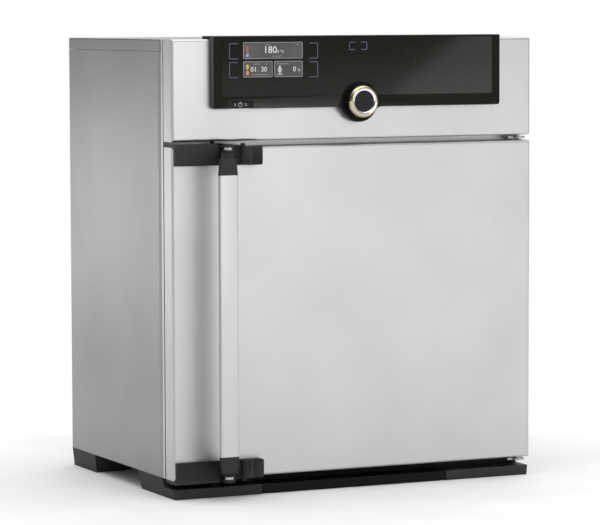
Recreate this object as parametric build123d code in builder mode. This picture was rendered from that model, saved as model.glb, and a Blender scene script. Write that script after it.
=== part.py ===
"""Bench-top laboratory incubator with a swing handle and a knob-operated control panel.

Lengths are in millimetres. X runs to the right as seen from the front, Y to the rear and Z up.
The origin lies on the floor, under the middle of the whole appliance.
"""
from build123d import *
import os

os.makedirs("parts", exist_ok=True)

# Whole appliance, as seen from the front
housing_width = 585.0
foot_height = 28.0
door_height = 480.5
door_gap = 8.0
header_height = 146.5
handle_reach = 56.0
rear_reach = 29.0
rear_bay = 60.0

# Sheet metal
skin = 1.0
front_edge_radius = 4.0
header_return = 31.0
door_return = 30.0
frame_setback = 33.0
frame_return = 7.0
frame_neck = 2.5
casing_setback = 43.0
casing_hem = 8.0
hem_inset = 1.0
sheet_flange = 14.0
lid_skirt = 17.4
lid_radius = 2.0
seam = 0.4
panel_cut_side = 20.0
panel_cut_right = 34.0
panel_cut_bottom = 4.0
panel_cut_top = 6.0
strap_inset = 30.0
strap_width = 16.0
strap_height = 60.0

# Heated chamber
chamber_width = 400.0
chamber_height = 320.0
chamber_depth = 250.0
chamber_radius = 12.0
liner_wall = 1.0
liner_flange = 10.0
rib_count = 5
rib_pitch = 52.0
rib_reach = 12.0
rib_root = 24.0
rib_crest = 12.0
rib_margin = 18.0
heater_thickness = 3.0
heater_margin = 25.0
insulation_behind = 60.0
insulation_above = 60.0
sensor_inset = 50.0
sensor_radius = 2.5
sensor_reach = 45.0
sensor_collar = 5.0
supply_width = 150.0
supply_depth = 90.0
supply_height = 45.0
supply_corner = 2.0

# Door
door_panel_wall = 1.0
plug_reach = 13.0
plug_gap = 4.0
plug_radius = 10.0
seal_width = 12.0
seal_offset = 6.0
seal_air = 0.3
seal_lip = 1.2
plug_draft = 5.0
hinge_inset = 12.0
hinge_setback = 14.0
hinge_relief = 4.0
hinge_pin_radius = 4.0
running_fit = 0.08
fixed_fit = 0.04
hinge_block_height = 12.0
hinge_block_back = 26.0
hinge_block_corner = 2.0
leaf_thickness = 3.0
leaf_gap = 2.5
leaf_half = 9.0
leaf_rise = 30.0
pin_collar = 3.0
arm_length = 60.0
arm_thickness = 3.0
arm_step = 2.0
arm_air = 1.0
arm_front_room = 10.0

# Swing handle and its latch
pivot_inset = 80.0
pivot_reach = 15.0
pivot_radius = 4.0
pivot_collar_radius = 5.5
bar_inset = 62.0
bar_width = 26.5
bar_thickness = 12.0
bar_wall = 2.0
bar_radius = 3.0
bar_end_gap = 38.5
bracket_left = 2.0
bracket_right = 136.5
bracket_height = 26.5
bracket_plate = 6.0
bracket_block = 14.0
bracket_block_width = 22.5
bracket_tray_length = 112.0
bracket_tray_rear = 29.0
bracket_tray_floor = 1.5
bracket_tray_height = 5.0
lug_radius = 10.0
hub_radius = 8.5
cam_width = 9.0
cam_thickness = 2.5
cam_tip = 27.0
catch_radius = 3.0
catch_setback = 20.0
catch_gap = 1.5
catch_end_gap = 2.5
bracket_corner = 3.0
bracket_edge = 1.5
barrel_radius = 10.0
barrel_ledge = 1.0
rim = 3.0
rim_return = 2.0
swing_room = 26.0
hub_room = 0.7
hub_drop = 6.5
hub_height = 15.0
collar_air = 0.3
arm_bevel = 2.0
cap_height = 20.0
cap_top_width = 21.0
cap_bottom_width = 25.5
cap_bevel = 6.0
lever_plug = 15.0
plug_edge = 0.9
cam_air = 0.4

# Control panel
bezel_width = 467.0
bezel_drop = 100.0
bezel_rise = 4.5
bezel_front = 12.5
bezel_wall = 3.0
bezel_radius = 4.5
bezel_edge = 1.5
bezel_top_reach = 26.0
bezel_top_thickness = 2.6
glass_side_margin = 13.5
glass_bottom_margin = 17.0
glass_top_margin = 2.5
glass_thickness = 1.8
glass_air = 0.3
knob_height = 8.3
lobe_radius = 30.5
lobe_blend = 11.0
dish_radius = 29.0
dish_depth = 2.5
lobe_room = 8.0
shaft_room = 0.5
button_left = 28.0
button_width = 34.5
button_height = 11.0
button_thickness = 6.0
button_sink = 1.0
button_travel = 2.0
button_air = 0.5
button_edge = 0.6
display_left = 47.4
display_width = 94.2
display_height = 54.0
display_drop = 9.2
display_thickness = 5.0
board_setback = 8.0
board_thickness = 1.6
board_side_margin = 6.0
board_bottom_margin = 1.0
board_top_margin = 14.0
chip_height = 2.5
chips = ((61.5, 36.0, 28.0), (116.5, 56.0, 22.0), (151.5, 26.0, 16.0))
post_inset = 6.0
post_radius = 3.0
switch_width = 12.0
switch_bottom = 4.5

# Turning knob
knob_radius = 23.5
knob_front = 30.0
knob_ring_length = 10.0
knob_core_radius = 20.0
knob_core_front = 27.5
knob_core_rear = 14.0
knob_face_radius = 15.0
knob_push = 1.0
shaft_radius = 3.0
encoder_side = 14.0
encoder_floor = 2.0
shaft_engagement = 5.0
core_bevel = 1.5
ring_edge = 1.0
ring_bevel = ((3.5, 0.0), (0.6, 2.2), (0.0, 3.4))
ring_lip = 3.2
ring_step = 0.6
face_thickness = 1.4
face_edge = 0.4

# Feet
foot_lip_setback = 4.0
foot_lip_height = 14.7
foot_step_setback = 44.0
foot_step_radius = 8.0
foot_width = 140.8
foot_length = 134.0
foot_undercut = 9.0
foot_side_lean = 3.0
foot_wall = 4.0
foot_seam = 0.5
foot_edge = 1.0
cover_lift = 1.0
rear_foot_length = 94.0
rear_foot_width = 92.0
rear_foot_rise = 9.0

# Rear side
duct_radius = 26.0
duct_wall = 1.5
duct_reach = 25.0
duct_offset = 100.0
duct_height = 90.0
duct_collar = 34.0
flap_inset = 33.0
flap_thickness = 1.5
flap_air = 0.4
flap_shaft_radius = 2.5
motor_side = 38.0
motor_corner = 4.0
motor_air = 1.0
inlet_offset = 205.0
inlet_height = 90.0
inlet_width = 27.5
inlet_tall = 20.0
inlet_depth = 26.0
inlet_flange_width = 50.0
inlet_flange_tall = 28.0
inlet_flange_thickness = 3.0
inlet_corner = 4.0
inlet_wall = 1.5
inlet_floor = 4.0
pin_spacing = 7.0
pin_offset = 2.0
pin_width = 2.0
pin_length = 16.0
pin_height = 4.0
spacer_radius = 14.0
spacer_inset = 60.0
spacer_draft = 8.0
slot_length = 60.0
slot_height = 5.0
slot_pitch = 14.0
slot_count = 7
screw_radius = 3.5
screw_head = 2.2
rear_screw_count = 5
rear_screw_margin = 28.6

# Shelves
wire_radius = 1.5
rail_radius = 2.5
shelf_wire_count = 17
shelf_bite = 8.0
shelf_front_gap = 22.0
shelf_rear_gap = 6.0
shelf_levels = (1, 3)
shelf_corner = 8.0
shelf_air = 0.1

# Positions worked out from the sizes above
left_x = -housing_width / 2
housing_depth = frame_setback + skin + chamber_depth + liner_wall + insulation_behind + rear_bay
flap_setback = housing_depth - flap_inset
right_x = housing_width / 2
front_y = handle_reach - (handle_reach + housing_depth + rear_reach) / 2
door_bottom_z = foot_height
door_top_z = door_bottom_z + door_height
door_mid_z = door_bottom_z + door_height / 2
header_bottom_z = door_top_z + door_gap
housing_top_z = header_bottom_z + header_height
lid_bottom_z = housing_top_z - lid_skirt
base_top_z = foot_height + skin
deck_z = door_mid_z + chamber_height / 2 + liner_wall + heater_thickness + insulation_above
bezel_top_z = housing_top_z + bezel_rise
bezel_bottom_z = housing_top_z - bezel_drop
knob_z = bezel_bottom_z + knob_height


def at(setback):
    """Return the Y position at a distance behind the plane of the door's front face."""
    return front_y + setback


chamber_front_y = at(frame_setback + skin)
chamber_rear_y = chamber_front_y + chamber_depth
rear_y = at(housing_depth)
hinge_x = right_x - hinge_inset
hinge_y = at(hinge_setback)
pivot_x = left_x + pivot_inset
pivot_y = at(-pivot_reach)
bar_x = left_x + bar_inset
bar_y = at(-handle_reach + bar_thickness / 2)
bar_bottom_z = door_bottom_z + bar_end_gap
bar_top_z = door_top_z - bar_end_gap
duct_z = door_mid_z + duct_height
catch_x = pivot_x - cam_width / 2 - catch_gap - catch_radius
catch_y = at(catch_setback)


def block(x, y, z, mode=Mode.ADD):
    """Add or cut a box between two limits along each axis."""
    with Locations(((x[0] + x[1]) / 2, (y[0] + y[1]) / 2, (z[0] + z[1]) / 2)):
        Box(x[1] - x[0], y[1] - y[0], z[1] - z[0], mode=mode)


def upright(x, y, z, radius, mode=Mode.ADD):
    """Add or cut a vertical cylinder between two heights."""
    with Locations((x, y, (z[0] + z[1]) / 2)):
        Cylinder(radius, z[1] - z[0], mode=mode)


def lengthwise(x, y, z, radius, mode=Mode.ADD):
    """Add or cut a cylinder that runs from front to rear."""
    with Locations((x, (y[0] + y[1]) / 2, z)):
        Cylinder(radius, y[1] - y[0], rotation=(90, 0, 0), mode=mode)


def write(piece, name):
    """Label a finished piece and write it under its own name."""
    piece.part.label = name
    export_step(piece.part, f"parts/{name}.step")


def mirrored(piece, plane):
    """Return the mirror image of a piece as a piece of its own."""
    with BuildPart() as image:
        mirror(piece.part, about=plane)
    return image


# Outer casing: two side walls with a hemmed front edge and flanges at both ends
with BuildPart() as outer_casing:
    with BuildSketch(Plane.XY.offset(foot_height)):
        with BuildLine():
            Polyline(
                (left_x + sheet_flange, at(casing_setback)),
                (left_x + hem_inset, at(casing_setback)),
                (left_x, at(casing_setback + casing_hem)),
                (left_x, rear_y - skin),
                (left_x + sheet_flange, rear_y - skin),
                (left_x + sheet_flange, rear_y - 2 * skin),
                (left_x + skin, rear_y - 2 * skin),
                (left_x + skin, at(casing_setback + casing_hem)),
                (left_x + skin + hem_inset, at(casing_setback + skin)),
                (left_x + sheet_flange, at(casing_setback + skin)),
                close=True,
            )
        make_face()
    extrude(amount=lid_bottom_z - seam - foot_height)
    mirror(about=Plane.YZ)
write(outer_casing, "outer_casing")

# Base plate: closes the casing at the bottom and carries the feet
with BuildPart() as base_plate:
    block(
        (left_x + skin, right_x - skin),
        (at(casing_setback + casing_hem), rear_y - 2 * skin),
        (foot_height, base_top_z),
    )
write(base_plate, "base_plate")

# Lid: a shallow tray turned over, with a skirt on three sides and a notched front corner
with BuildPart() as top_cover:
    block((left_x, right_x), (at(casing_setback), rear_y), (lid_bottom_z, housing_top_z))
    fillet(top_cover.faces().sort_by(Axis.Z)[-1].edges(), lid_radius)
    offset(amount=-skin, openings=top_cover.faces().sort_by(Axis.Z)[0])
write(top_cover, "top_cover")

# Front frame: the plate round the chamber's mouth, with a stepped rim that meets the casing
with BuildPart() as front_frame:
    with BuildSketch(Plane.XZ.offset(-at(frame_setback))):
        with Locations((0, (foot_height + housing_top_z - skin) / 2)):
            Rectangle(housing_width, housing_top_z - skin - foot_height)
        with Locations((0, door_mid_z)):
            RectangleRounded(chamber_width, chamber_height, chamber_radius, mode=Mode.SUBTRACT)
    extrude(amount=-skin)
    for side in (-1, 1):
        edge = side * housing_width / 2
        inner = edge - side * skin
        neck = edge - side * frame_neck
        neck_inner = neck - side * skin
        block(
            sorted((edge, inner)),
            (at(frame_setback), at(frame_setback + frame_return)),
            (foot_height, housing_top_z - skin),
        )
        block(
            sorted((edge, neck_inner)),
            (at(frame_setback + frame_return - skin), at(frame_setback + frame_return)),
            (foot_height, housing_top_z - skin),
        )
        block(
            sorted((neck, neck_inner)),
            (at(frame_setback + frame_return - skin), at(casing_setback)),
            (foot_height, lid_bottom_z - seam),
        )
    block(
        (left_x, right_x),
        (at(frame_setback), at(frame_setback + frame_return)),
        (housing_top_z - skin, housing_top_z),
    )
    block(
        (left_x + sheet_flange, right_x - sheet_flange),
        (at(frame_setback), at(casing_setback + casing_hem)),
        (foot_height, base_top_z),
    )
write(front_frame, "front_frame")

# Rear panel: screwed to the casing's rear flanges, with cooling slots beside the electronics
slot_z = deck_z + 2 * slot_pitch
with BuildPart() as rear_panel:
    with BuildSketch(Plane.XZ.offset(-(rear_y - skin))):
        with Locations((0, (foot_height + lid_bottom_z - seam) / 2)):
            Rectangle(housing_width, lid_bottom_z - seam - foot_height)
        with Locations((duct_offset, duct_z)):
            Circle(duct_radius + seam, mode=Mode.SUBTRACT)
        with Locations((inlet_offset, foot_height + inlet_height)):
            Rectangle(inlet_width, inlet_tall, mode=Mode.SUBTRACT)
        for side in (-1, 1):
            with Locations((side * housing_width / 4, slot_z + slot_pitch * (slot_count - 1) / 2)):
                with GridLocations(0, slot_pitch, 1, slot_count):
                    SlotOverall(slot_length, slot_height, mode=Mode.SUBTRACT)
    extrude(amount=-skin)
write(rear_panel, "rear_panel")

# Header: a folded front tray above the door, cut out behind the control panel
with BuildPart() as header_fascia:
    block((left_x, right_x), (at(0), at(header_return)), (header_bottom_z, housing_top_z))
    fillet(header_fascia.faces().sort_by(Axis.Y)[0].edges(), front_edge_radius)
    offset(amount=-skin, openings=header_fascia.faces().sort_by(Axis.Y)[-1])
    block(
        (-bezel_width / 2 + panel_cut_side, panel_cut_right),
        (at(-1), at(skin + 1)),
        (bezel_bottom_z + panel_cut_bottom, housing_top_z - panel_cut_top),
        mode=Mode.SUBTRACT,
    )
    lengthwise(0, (at(-1), at(skin + 1)), knob_z, encoder_side, mode=Mode.SUBTRACT)
    upright(
        catch_x,
        catch_y,
        (header_bottom_z - 1, header_bottom_z + 2 * skin),
        catch_radius + fixed_fit,
        mode=Mode.SUBTRACT,
    )
write(header_fascia, "header_fascia")

# Header brackets: Z-shaped straps that hold the header to the front frame
strap_z = (bezel_bottom_z, bezel_bottom_z + strap_height)
with BuildPart() as header_brackets:
    for side in (-1, 1):
        strap_left = side * (housing_width / 2 - strap_inset) - strap_width / 2
        strap_x = (strap_left, strap_left + strap_width)
        block((strap_left, strap_left + skin), (at(skin), at(frame_setback)), strap_z)
        block(strap_x, (at(skin), at(2 * skin)), strap_z)
        block(strap_x, (at(frame_setback - skin), at(frame_setback)), strap_z)
write(header_brackets, "header_brackets")

# Chamber liner: deep-drawn stainless box whose side walls carry ribs for the shelves


def rib_height(level):
    """Return the height of the middle of one rib, counted from the lowest one."""
    return door_mid_z + (level - (rib_count - 1) / 2) * rib_pitch


def rib_sections(root_x, inset):
    """Return the trapezoid sections of the ribs on both side walls, inset by a wall."""
    crest_x = chamber_width / 2 - rib_reach + inset
    with BuildSketch() as sections:
        for side in (-1, 1):
            for level in range(rib_count):
                middle = rib_height(level)
                with BuildLine():
                    Polyline(
                        (side * root_x, middle - rib_root / 2 + inset),
                        (side * crest_x, middle - rib_crest / 2 + inset / 2),
                        (side * crest_x, middle + rib_crest / 2 - inset),
                        (side * root_x, middle + rib_crest / 2 - inset),
                        close=True,
                    )
                make_face()
    return sections.sketch


rib_shells = rib_sections(chamber_width / 2 + liner_wall / 2, 0)
rib_hollows = rib_sections(chamber_width / 2 + 2 * liner_wall, liner_wall)
rib_front_y = chamber_front_y + rib_margin
rib_length = chamber_depth - 2 * rib_margin
with BuildPart() as chamber_liner:
    with BuildSketch(Plane.XZ.offset(-chamber_front_y)):
        with Locations((0, door_mid_z)):
            RectangleRounded(
                chamber_width + 2 * liner_wall,
                chamber_height + 2 * liner_wall,
                chamber_radius + liner_wall,
            )
    extrude(amount=-(chamber_depth + liner_wall))
    with BuildSketch(Plane.XZ.offset(-chamber_front_y)):
        with Locations((0, door_mid_z)):
            RectangleRounded(chamber_width, chamber_height, chamber_radius)
    extrude(amount=-chamber_depth, mode=Mode.SUBTRACT)
    with BuildSketch(Plane.XZ.offset(-rib_front_y)):
        add(rib_shells)
    extrude(amount=-rib_length)
    with BuildSketch(Plane.XZ.offset(-(rib_front_y + liner_wall))):
        add(rib_hollows)
    extrude(amount=-(rib_length - 2 * liner_wall), mode=Mode.SUBTRACT)
    with BuildSketch(Plane.XZ.offset(-chamber_front_y)):
        with Locations((0, door_mid_z)):
            RectangleRounded(
                chamber_width + 2 * liner_flange,
                chamber_height + 2 * liner_flange,
                chamber_radius + liner_flange,
            )
            Rectangle(chamber_width, chamber_height, mode=Mode.SUBTRACT)
    extrude(amount=-liner_wall)
    lengthwise(
        duct_offset,
        (chamber_rear_y - 1, chamber_rear_y + liner_wall + 1),
        duct_z,
        duct_radius - duct_wall,
        mode=Mode.SUBTRACT,
    )
write(chamber_liner, "chamber_liner")

# Heating mats: flat against the four walls of the liner
heater_y = (chamber_front_y + heater_margin, chamber_rear_y - heater_margin)
wall_x = chamber_width / 2 + liner_wall
wall_z = chamber_height / 2 + liner_wall
side_half = chamber_height / 2 - heater_margin
flat_half = chamber_width / 2 - heater_margin
with BuildPart() as side_heaters:
    for side in (-1, 1):
        block(
            sorted((side * wall_x, side * (wall_x + heater_thickness))),
            heater_y,
            (door_mid_z - side_half, door_mid_z + side_half),
        )
write(side_heaters, "side_heaters")

with BuildPart() as floor_and_roof_heaters:
    for side in (-1, 1):
        face_z = door_mid_z + side * wall_z
        block((-flat_half, flat_half), heater_y, sorted((face_z, face_z + side * heater_thickness)))
write(floor_and_roof_heaters, "floor_and_roof_heaters")

# Insulation: a mineral wool jacket round the liner, from the base to the electronics deck
jacket_x = housing_width / 2 - sheet_flange
jacket_rear_y = chamber_rear_y + liner_wall + insulation_behind
with BuildPart() as chamber_insulation:
    block(
        (-jacket_x, jacket_x),
        (chamber_front_y + liner_wall, jacket_rear_y),
        (base_top_z, deck_z),
    )
    block(
        (-wall_x - heater_thickness, wall_x + heater_thickness),
        (chamber_front_y, chamber_rear_y + liner_wall),
        (door_mid_z - wall_z - heater_thickness, door_mid_z + wall_z + heater_thickness),
        mode=Mode.SUBTRACT,
    )
    lengthwise(duct_offset, (chamber_rear_y, jacket_rear_y + 1), duct_z, duct_radius, mode=Mode.SUBTRACT)
write(chamber_insulation, "chamber_insulation")

# Electronics deck: the shelf of sheet metal over the insulation
with BuildPart() as electronics_deck:
    block(
        (left_x + skin, right_x - skin),
        (at(casing_setback + casing_hem), rear_y - 2 * skin),
        (deck_z, deck_z + skin),
    )
write(electronics_deck, "electronics_deck")

# Power supply: a closed metal box on the deck
supply_x = -housing_width / 4
supply_y = (chamber_front_y + rear_y) / 2
with BuildPart() as power_supply:
    with Locations((supply_x, supply_y, deck_z + skin + supply_height / 2)):
        Box(supply_width, supply_depth, supply_height)
    chamfer(power_supply.edges().filter_by(Axis.Z), supply_corner)
write(power_supply, "power_supply")

# Temperature sensor: a thin probe through the chamber's rear wall, with its collar outside
sensor_x = -chamber_width / 2 + sensor_inset
sensor_z = door_mid_z + chamber_height / 2 - 4 * sensor_radius
with BuildPart() as temperature_sensor:
    lengthwise(
        sensor_x,
        (chamber_rear_y - sensor_reach, chamber_rear_y - seam),
        sensor_z,
        sensor_radius,
    )
    lengthwise(
        sensor_x,
        (chamber_rear_y - sensor_collar, chamber_rear_y),
        sensor_z,
        3 * sensor_radius,
    )
write(temperature_sensor, "temperature_sensor")

# Exhaust duct: runs from the chamber through the rear panel, with a collar on the panel
with BuildPart() as exhaust_duct:
    duct_front_y = chamber_rear_y + liner_wall
    lengthwise(duct_offset, (duct_front_y, rear_y + duct_reach), duct_z, duct_radius)
    lengthwise(duct_offset, (rear_y, rear_y + 2 * skin), duct_z, duct_collar)
    lengthwise(
        duct_offset,
        (duct_front_y - 1, rear_y + duct_reach + 1),
        duct_z,
        duct_radius - duct_wall,
        mode=Mode.SUBTRACT,
    )
    with Locations((duct_offset + duct_radius - duct_wall / 2, at(flap_setback), duct_z)):
        Cylinder(
            flap_shaft_radius + running_fit,
            4 * duct_wall,
            rotation=(0, 90, 0),
            mode=Mode.SUBTRACT,
        )
write(exhaust_duct, "exhaust_duct")

# Air flap: a round disc on its cross shaft, closed across the duct
flap_shaft_end = duct_offset + duct_radius + motor_side / 2
with BuildPart() as air_flap:
    lengthwise(
        duct_offset,
        (at(flap_setback) - flap_thickness / 2, at(flap_setback) + flap_thickness / 2),
        duct_z,
        duct_radius - duct_wall - flap_air,
    )
    shaft_start = duct_offset - duct_radius / 2
    with Locations(((shaft_start + flap_shaft_end) / 2, at(flap_setback), duct_z)):
        Cylinder(flap_shaft_radius, flap_shaft_end - shaft_start, rotation=(0, 90, 0))
write(air_flap, "air_flap")

# Flap motor: a geared motor beside the duct that turns the flap's shaft
motor_x = duct_offset + duct_radius + seam / 2
with BuildPart() as flap_motor:
    block(
        (motor_x, motor_x + motor_side),
        (at(flap_setback) - motor_side / 2, at(flap_setback) + motor_side / 2),
        (duct_z - motor_side / 2, duct_z + motor_side / 2),
    )
    chamfer(flap_motor.edges().filter_by(Axis.X), motor_corner)
    with Locations(((motor_x + flap_shaft_end) / 2, at(flap_setback), duct_z)):
        Cylinder(
            flap_shaft_radius + running_fit,
            flap_shaft_end - motor_x + 2 * motor_air,
            rotation=(0, 90, 0),
            mode=Mode.SUBTRACT,
        )
write(flap_motor, "flap_motor")

# Mains inlet: the flanged socket on the rear panel, with three flat pins
inlet_z = foot_height + inlet_height
inlet_floor_y = rear_y - inlet_depth + inlet_floor
with BuildPart() as mains_inlet:
    block(
        (inlet_offset - inlet_flange_width / 2, inlet_offset + inlet_flange_width / 2),
        (rear_y, rear_y + inlet_flange_thickness),
        (inlet_z - inlet_flange_tall / 2, inlet_z + inlet_flange_tall / 2),
    )
    fillet(mains_inlet.edges().filter_by(Axis.Y), inlet_corner)
    block(
        (inlet_offset - inlet_width / 2, inlet_offset + inlet_width / 2),
        (rear_y - inlet_depth, rear_y),
        (inlet_z - inlet_tall / 2, inlet_z + inlet_tall / 2),
    )
    block(
        (inlet_offset - inlet_width / 2 + inlet_wall, inlet_offset + inlet_width / 2 - inlet_wall),
        (inlet_floor_y, rear_y + inlet_flange_thickness),
        (inlet_z - inlet_tall / 2 + inlet_wall, inlet_z + inlet_tall / 2 - inlet_wall),
        mode=Mode.SUBTRACT,
    )
write(mains_inlet, "mains_inlet")

with BuildPart() as inlet_pins:
    pin_y = inlet_floor_y + pin_length / 2
    for step, rise in ((-1, -pin_offset), (0, pin_offset), (1, -pin_offset)):
        with Locations((inlet_offset + step * pin_spacing, pin_y, inlet_z + rise)):
            Box(pin_width, pin_length, pin_height)
write(inlet_pins, "inlet_pins")

# Rear spacers: two rubber stops that keep the duct clear of the wall
with BuildPart() as rear_spacers:
    for side in (-1, 1):
        with BuildSketch(Plane.XZ.offset(-rear_y)):
            with Locations((side * (housing_width / 2 - spacer_inset), foot_height + spacer_inset)):
                Circle(spacer_radius)
        extrude(amount=-rear_reach, taper=spacer_draft)
write(rear_spacers, "rear_spacers")

# Rear panel screws: one row down each side of the panel
rear_screw_span = lid_bottom_z - foot_height - 2 * rear_screw_margin
rear_screw_pitch = rear_screw_span / (rear_screw_count - 1)
with BuildPart() as rear_panel_screws:
    with BuildSketch(Plane.XZ.offset(-rear_y)):
        with Locations((0, (foot_height + lid_bottom_z) / 2)):
            with GridLocations(housing_width - sheet_flange, rear_screw_pitch, 2, rear_screw_count):
                Circle(screw_radius)
    extrude(amount=-screw_head)
    fillet(rear_panel_screws.faces().group_by(Axis.Y)[-1].edges(), screw_head / 2)
write(rear_panel_screws, "rear_panel_screws")

# Feet: hollow mouldings with a low lip under the door


def front_foot(x_limits, side):
    """Build one front foot between two X limits; its outer face leans inwards at the bottom."""
    lip_y = at(foot_lip_setback)
    step_y = at(foot_step_setback)
    rear_end = at(foot_lip_setback + foot_length)
    with BuildPart() as foot:
        with BuildSketch(Plane.YZ.offset(x_limits[0])) as outline:
            with BuildLine():
                Polyline(
                    (step_y, foot_lip_height + foot_step_radius),
                    (step_y, foot_height),
                    (rear_end, foot_height),
                    (rear_end - foot_undercut, 0),
                    (lip_y, 0),
                    (lip_y, foot_lip_height),
                    (step_y - foot_step_radius, foot_lip_height),
                )
                RadiusArc(
                    (step_y - foot_step_radius, foot_lip_height),
                    (step_y, foot_lip_height + foot_step_radius),
                    -foot_step_radius,
                )
            make_face()
        extrude(amount=x_limits[1] - x_limits[0])
        fillet(foot.edges().filter_by(Axis.X).sort_by(Axis.Y)[:2], foot_edge)
        block(
            (x_limits[0] + foot_wall + foot_side_lean, x_limits[1] - foot_wall - foot_side_lean),
            (step_y + foot_wall, rear_end - foot_undercut - foot_wall),
            (foot_wall, foot_height),
            mode=Mode.SUBTRACT,
        )
        lean = Plane(
            origin=(side * housing_width / 2, 0, foot_height),
            x_dir=(0, 1, 0),
            z_dir=(side * foot_height, 0, -foot_side_lean),
        )
        split(bisect_by=lean, keep=Keep.BOTTOM)
    return foot


left_foot = front_foot((left_x, left_x + foot_width), -1)
right_foot = front_foot((right_x - foot_width, right_x), 1)

# Foot cover: the low skirt between the two front feet
with BuildPart() as foot_cover:
    cover_half = housing_width / 2 - foot_width - foot_seam
    block(
        (-cover_half, cover_half),
        (at(foot_lip_setback), at(foot_step_setback)),
        (cover_lift, foot_lip_height),
    )
    fillet(foot_cover.edges().filter_by(Axis.X).sort_by(Axis.Y)[:2], foot_edge)
    block(
        (-cover_half, cover_half),
        (at(foot_step_setback - foot_wall), at(foot_step_setback)),
        (foot_lip_height, foot_height),
    )
    block(
        (-cover_half + foot_wall, cover_half - foot_wall),
        (at(foot_lip_setback + foot_wall), at(foot_step_setback)),
        (cover_lift, foot_lip_height - foot_wall),
        mode=Mode.SUBTRACT,
    )
write(foot_cover, "foot_cover")


def rear_foot(side):
    """Build one rear foot, whose underside rises towards the middle of the appliance."""
    outer = side * housing_width / 2
    inner = outer - side * rear_foot_width
    with BuildPart() as foot:
        with BuildSketch(Plane.XZ.offset(-(rear_y - rear_foot_length))):
            with BuildLine():
                Polyline(
                    (outer, foot_height),
                    (outer - side * foot_side_lean, 0),
                    (outer - side * rear_foot_width / 2, 0),
                    (inner, rear_foot_rise),
                    (inner, foot_height),
                    close=True,
                )
            make_face()
        extrude(amount=-rear_foot_length)
        pocket_x = sorted((outer - side * 2 * foot_wall, inner + side * foot_wall))
        block(
            pocket_x,
            (rear_y - rear_foot_length + foot_wall, rear_y - foot_wall),
            (rear_foot_rise + foot_wall, foot_height),
            mode=Mode.SUBTRACT,
        )
    return foot


write(rear_foot(-1), "foot_rear_left")
write(rear_foot(1), "foot_rear_right")

# Door skin: the folded outer tray, relieved at the hinge corner so that it can swing
with BuildPart() as door_skin:
    with BuildSketch(Plane.XY.offset(door_bottom_z)):
        with BuildLine():
            Polyline(
                (left_x, at(0)),
                (right_x, at(0)),
                (right_x, at(door_return - hinge_relief)),
                (right_x - hinge_relief, at(door_return)),
                (left_x, at(door_return)),
                close=True,
            )
        make_face()
    extrude(amount=door_height)
    fillet(door_skin.faces().sort_by(Axis.Y)[0].edges(), front_edge_radius)
    rear_faces = door_skin.faces().filter_by(Axis.Y).sort_by(Axis.Y)[-1:]
    relief_faces = door_skin.faces().filter_by(
        lambda f: abs(f.normal_at().X - f.normal_at().Y) < 0.01 and f.normal_at().X > 0.5
    )
    offset(amount=-skin, openings=rear_faces + relief_faces)
    for z_limits in (
        (door_top_z - 2 * skin, door_top_z + 1),
        (door_bottom_z - 1, door_bottom_z + 2 * skin),
    ):
        upright(hinge_x, hinge_y, z_limits, hinge_pin_radius + 1, mode=Mode.SUBTRACT)
write(door_skin, "door_skin")

# Hinge blocks: steel blocks inside the door that turn on the hinge pins
with BuildPart() as door_hinge_block_upper:
    block(
        (hinge_x - hinge_block_back, right_x - skin - hinge_block_corner),
        (at(front_edge_radius), at(door_return - hinge_relief - skin)),
        (door_top_z - skin - hinge_block_height, door_top_z - skin),
    )
    fillet(
        door_hinge_block_upper.edges().filter_by(Axis.Z).group_by(Axis.X)[-1],
        hinge_block_corner,
    )
    upright(
        hinge_x,
        hinge_y,
        (door_top_z - 3 * hinge_block_height, door_top_z),
        hinge_pin_radius + running_fit,
        mode=Mode.SUBTRACT,
    )
door_mid_plane = Plane.XY.offset(door_mid_z)
door_hinge_block_lower = mirrored(door_hinge_block_upper, door_mid_plane)
write(door_hinge_block_upper, "door_hinge_block_upper")
write(door_hinge_block_lower, "door_hinge_block_lower")

# Door inner panel: stainless plate with a drawn plug that enters the chamber's mouth
panel_left = left_x + skin
panel_right = right_x - hinge_relief - skin
panel_bottom = door_bottom_z + skin
panel_height = door_height - 2 * skin
plug_width = chamber_width - 2 * plug_gap
plug_height = chamber_height - 2 * plug_gap
plug_end = frame_setback - door_return + plug_reach
with BuildPart() as door_inner_panel:
    block(
        (panel_left, panel_right),
        (at(door_return - door_panel_wall), at(door_return)),
        (panel_bottom, panel_bottom + panel_height),
    )
    with BuildSketch(Plane.XZ.offset(-at(door_return))):
        with Locations((0, door_mid_z)):
            RectangleRounded(plug_width, plug_height, plug_radius)
    extrude(amount=-plug_end, taper=plug_draft)
    with BuildSketch(Plane.XZ.offset(-at(door_return - door_panel_wall))):
        with Locations((0, door_mid_z)):
            RectangleRounded(
                plug_width - 2 * door_panel_wall,
                plug_height - 2 * door_panel_wall,
                plug_radius - door_panel_wall,
            )
    extrude(amount=-plug_end, taper=plug_draft, mode=Mode.SUBTRACT)
write(door_inner_panel, "door_inner_panel")

# Door insulation: a wool board between the skin and the inner panel
with BuildPart() as door_insulation:
    block(
        (panel_left + 1, hinge_x - hinge_block_back - 1),
        (at(skin), at(door_return - door_panel_wall)),
        (panel_bottom + 1, panel_bottom + panel_height - 1),
    )
    chamfer(door_insulation.faces().sort_by(Axis.Y)[0].edges(), front_edge_radius)
write(door_insulation, "door_insulation")

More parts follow.
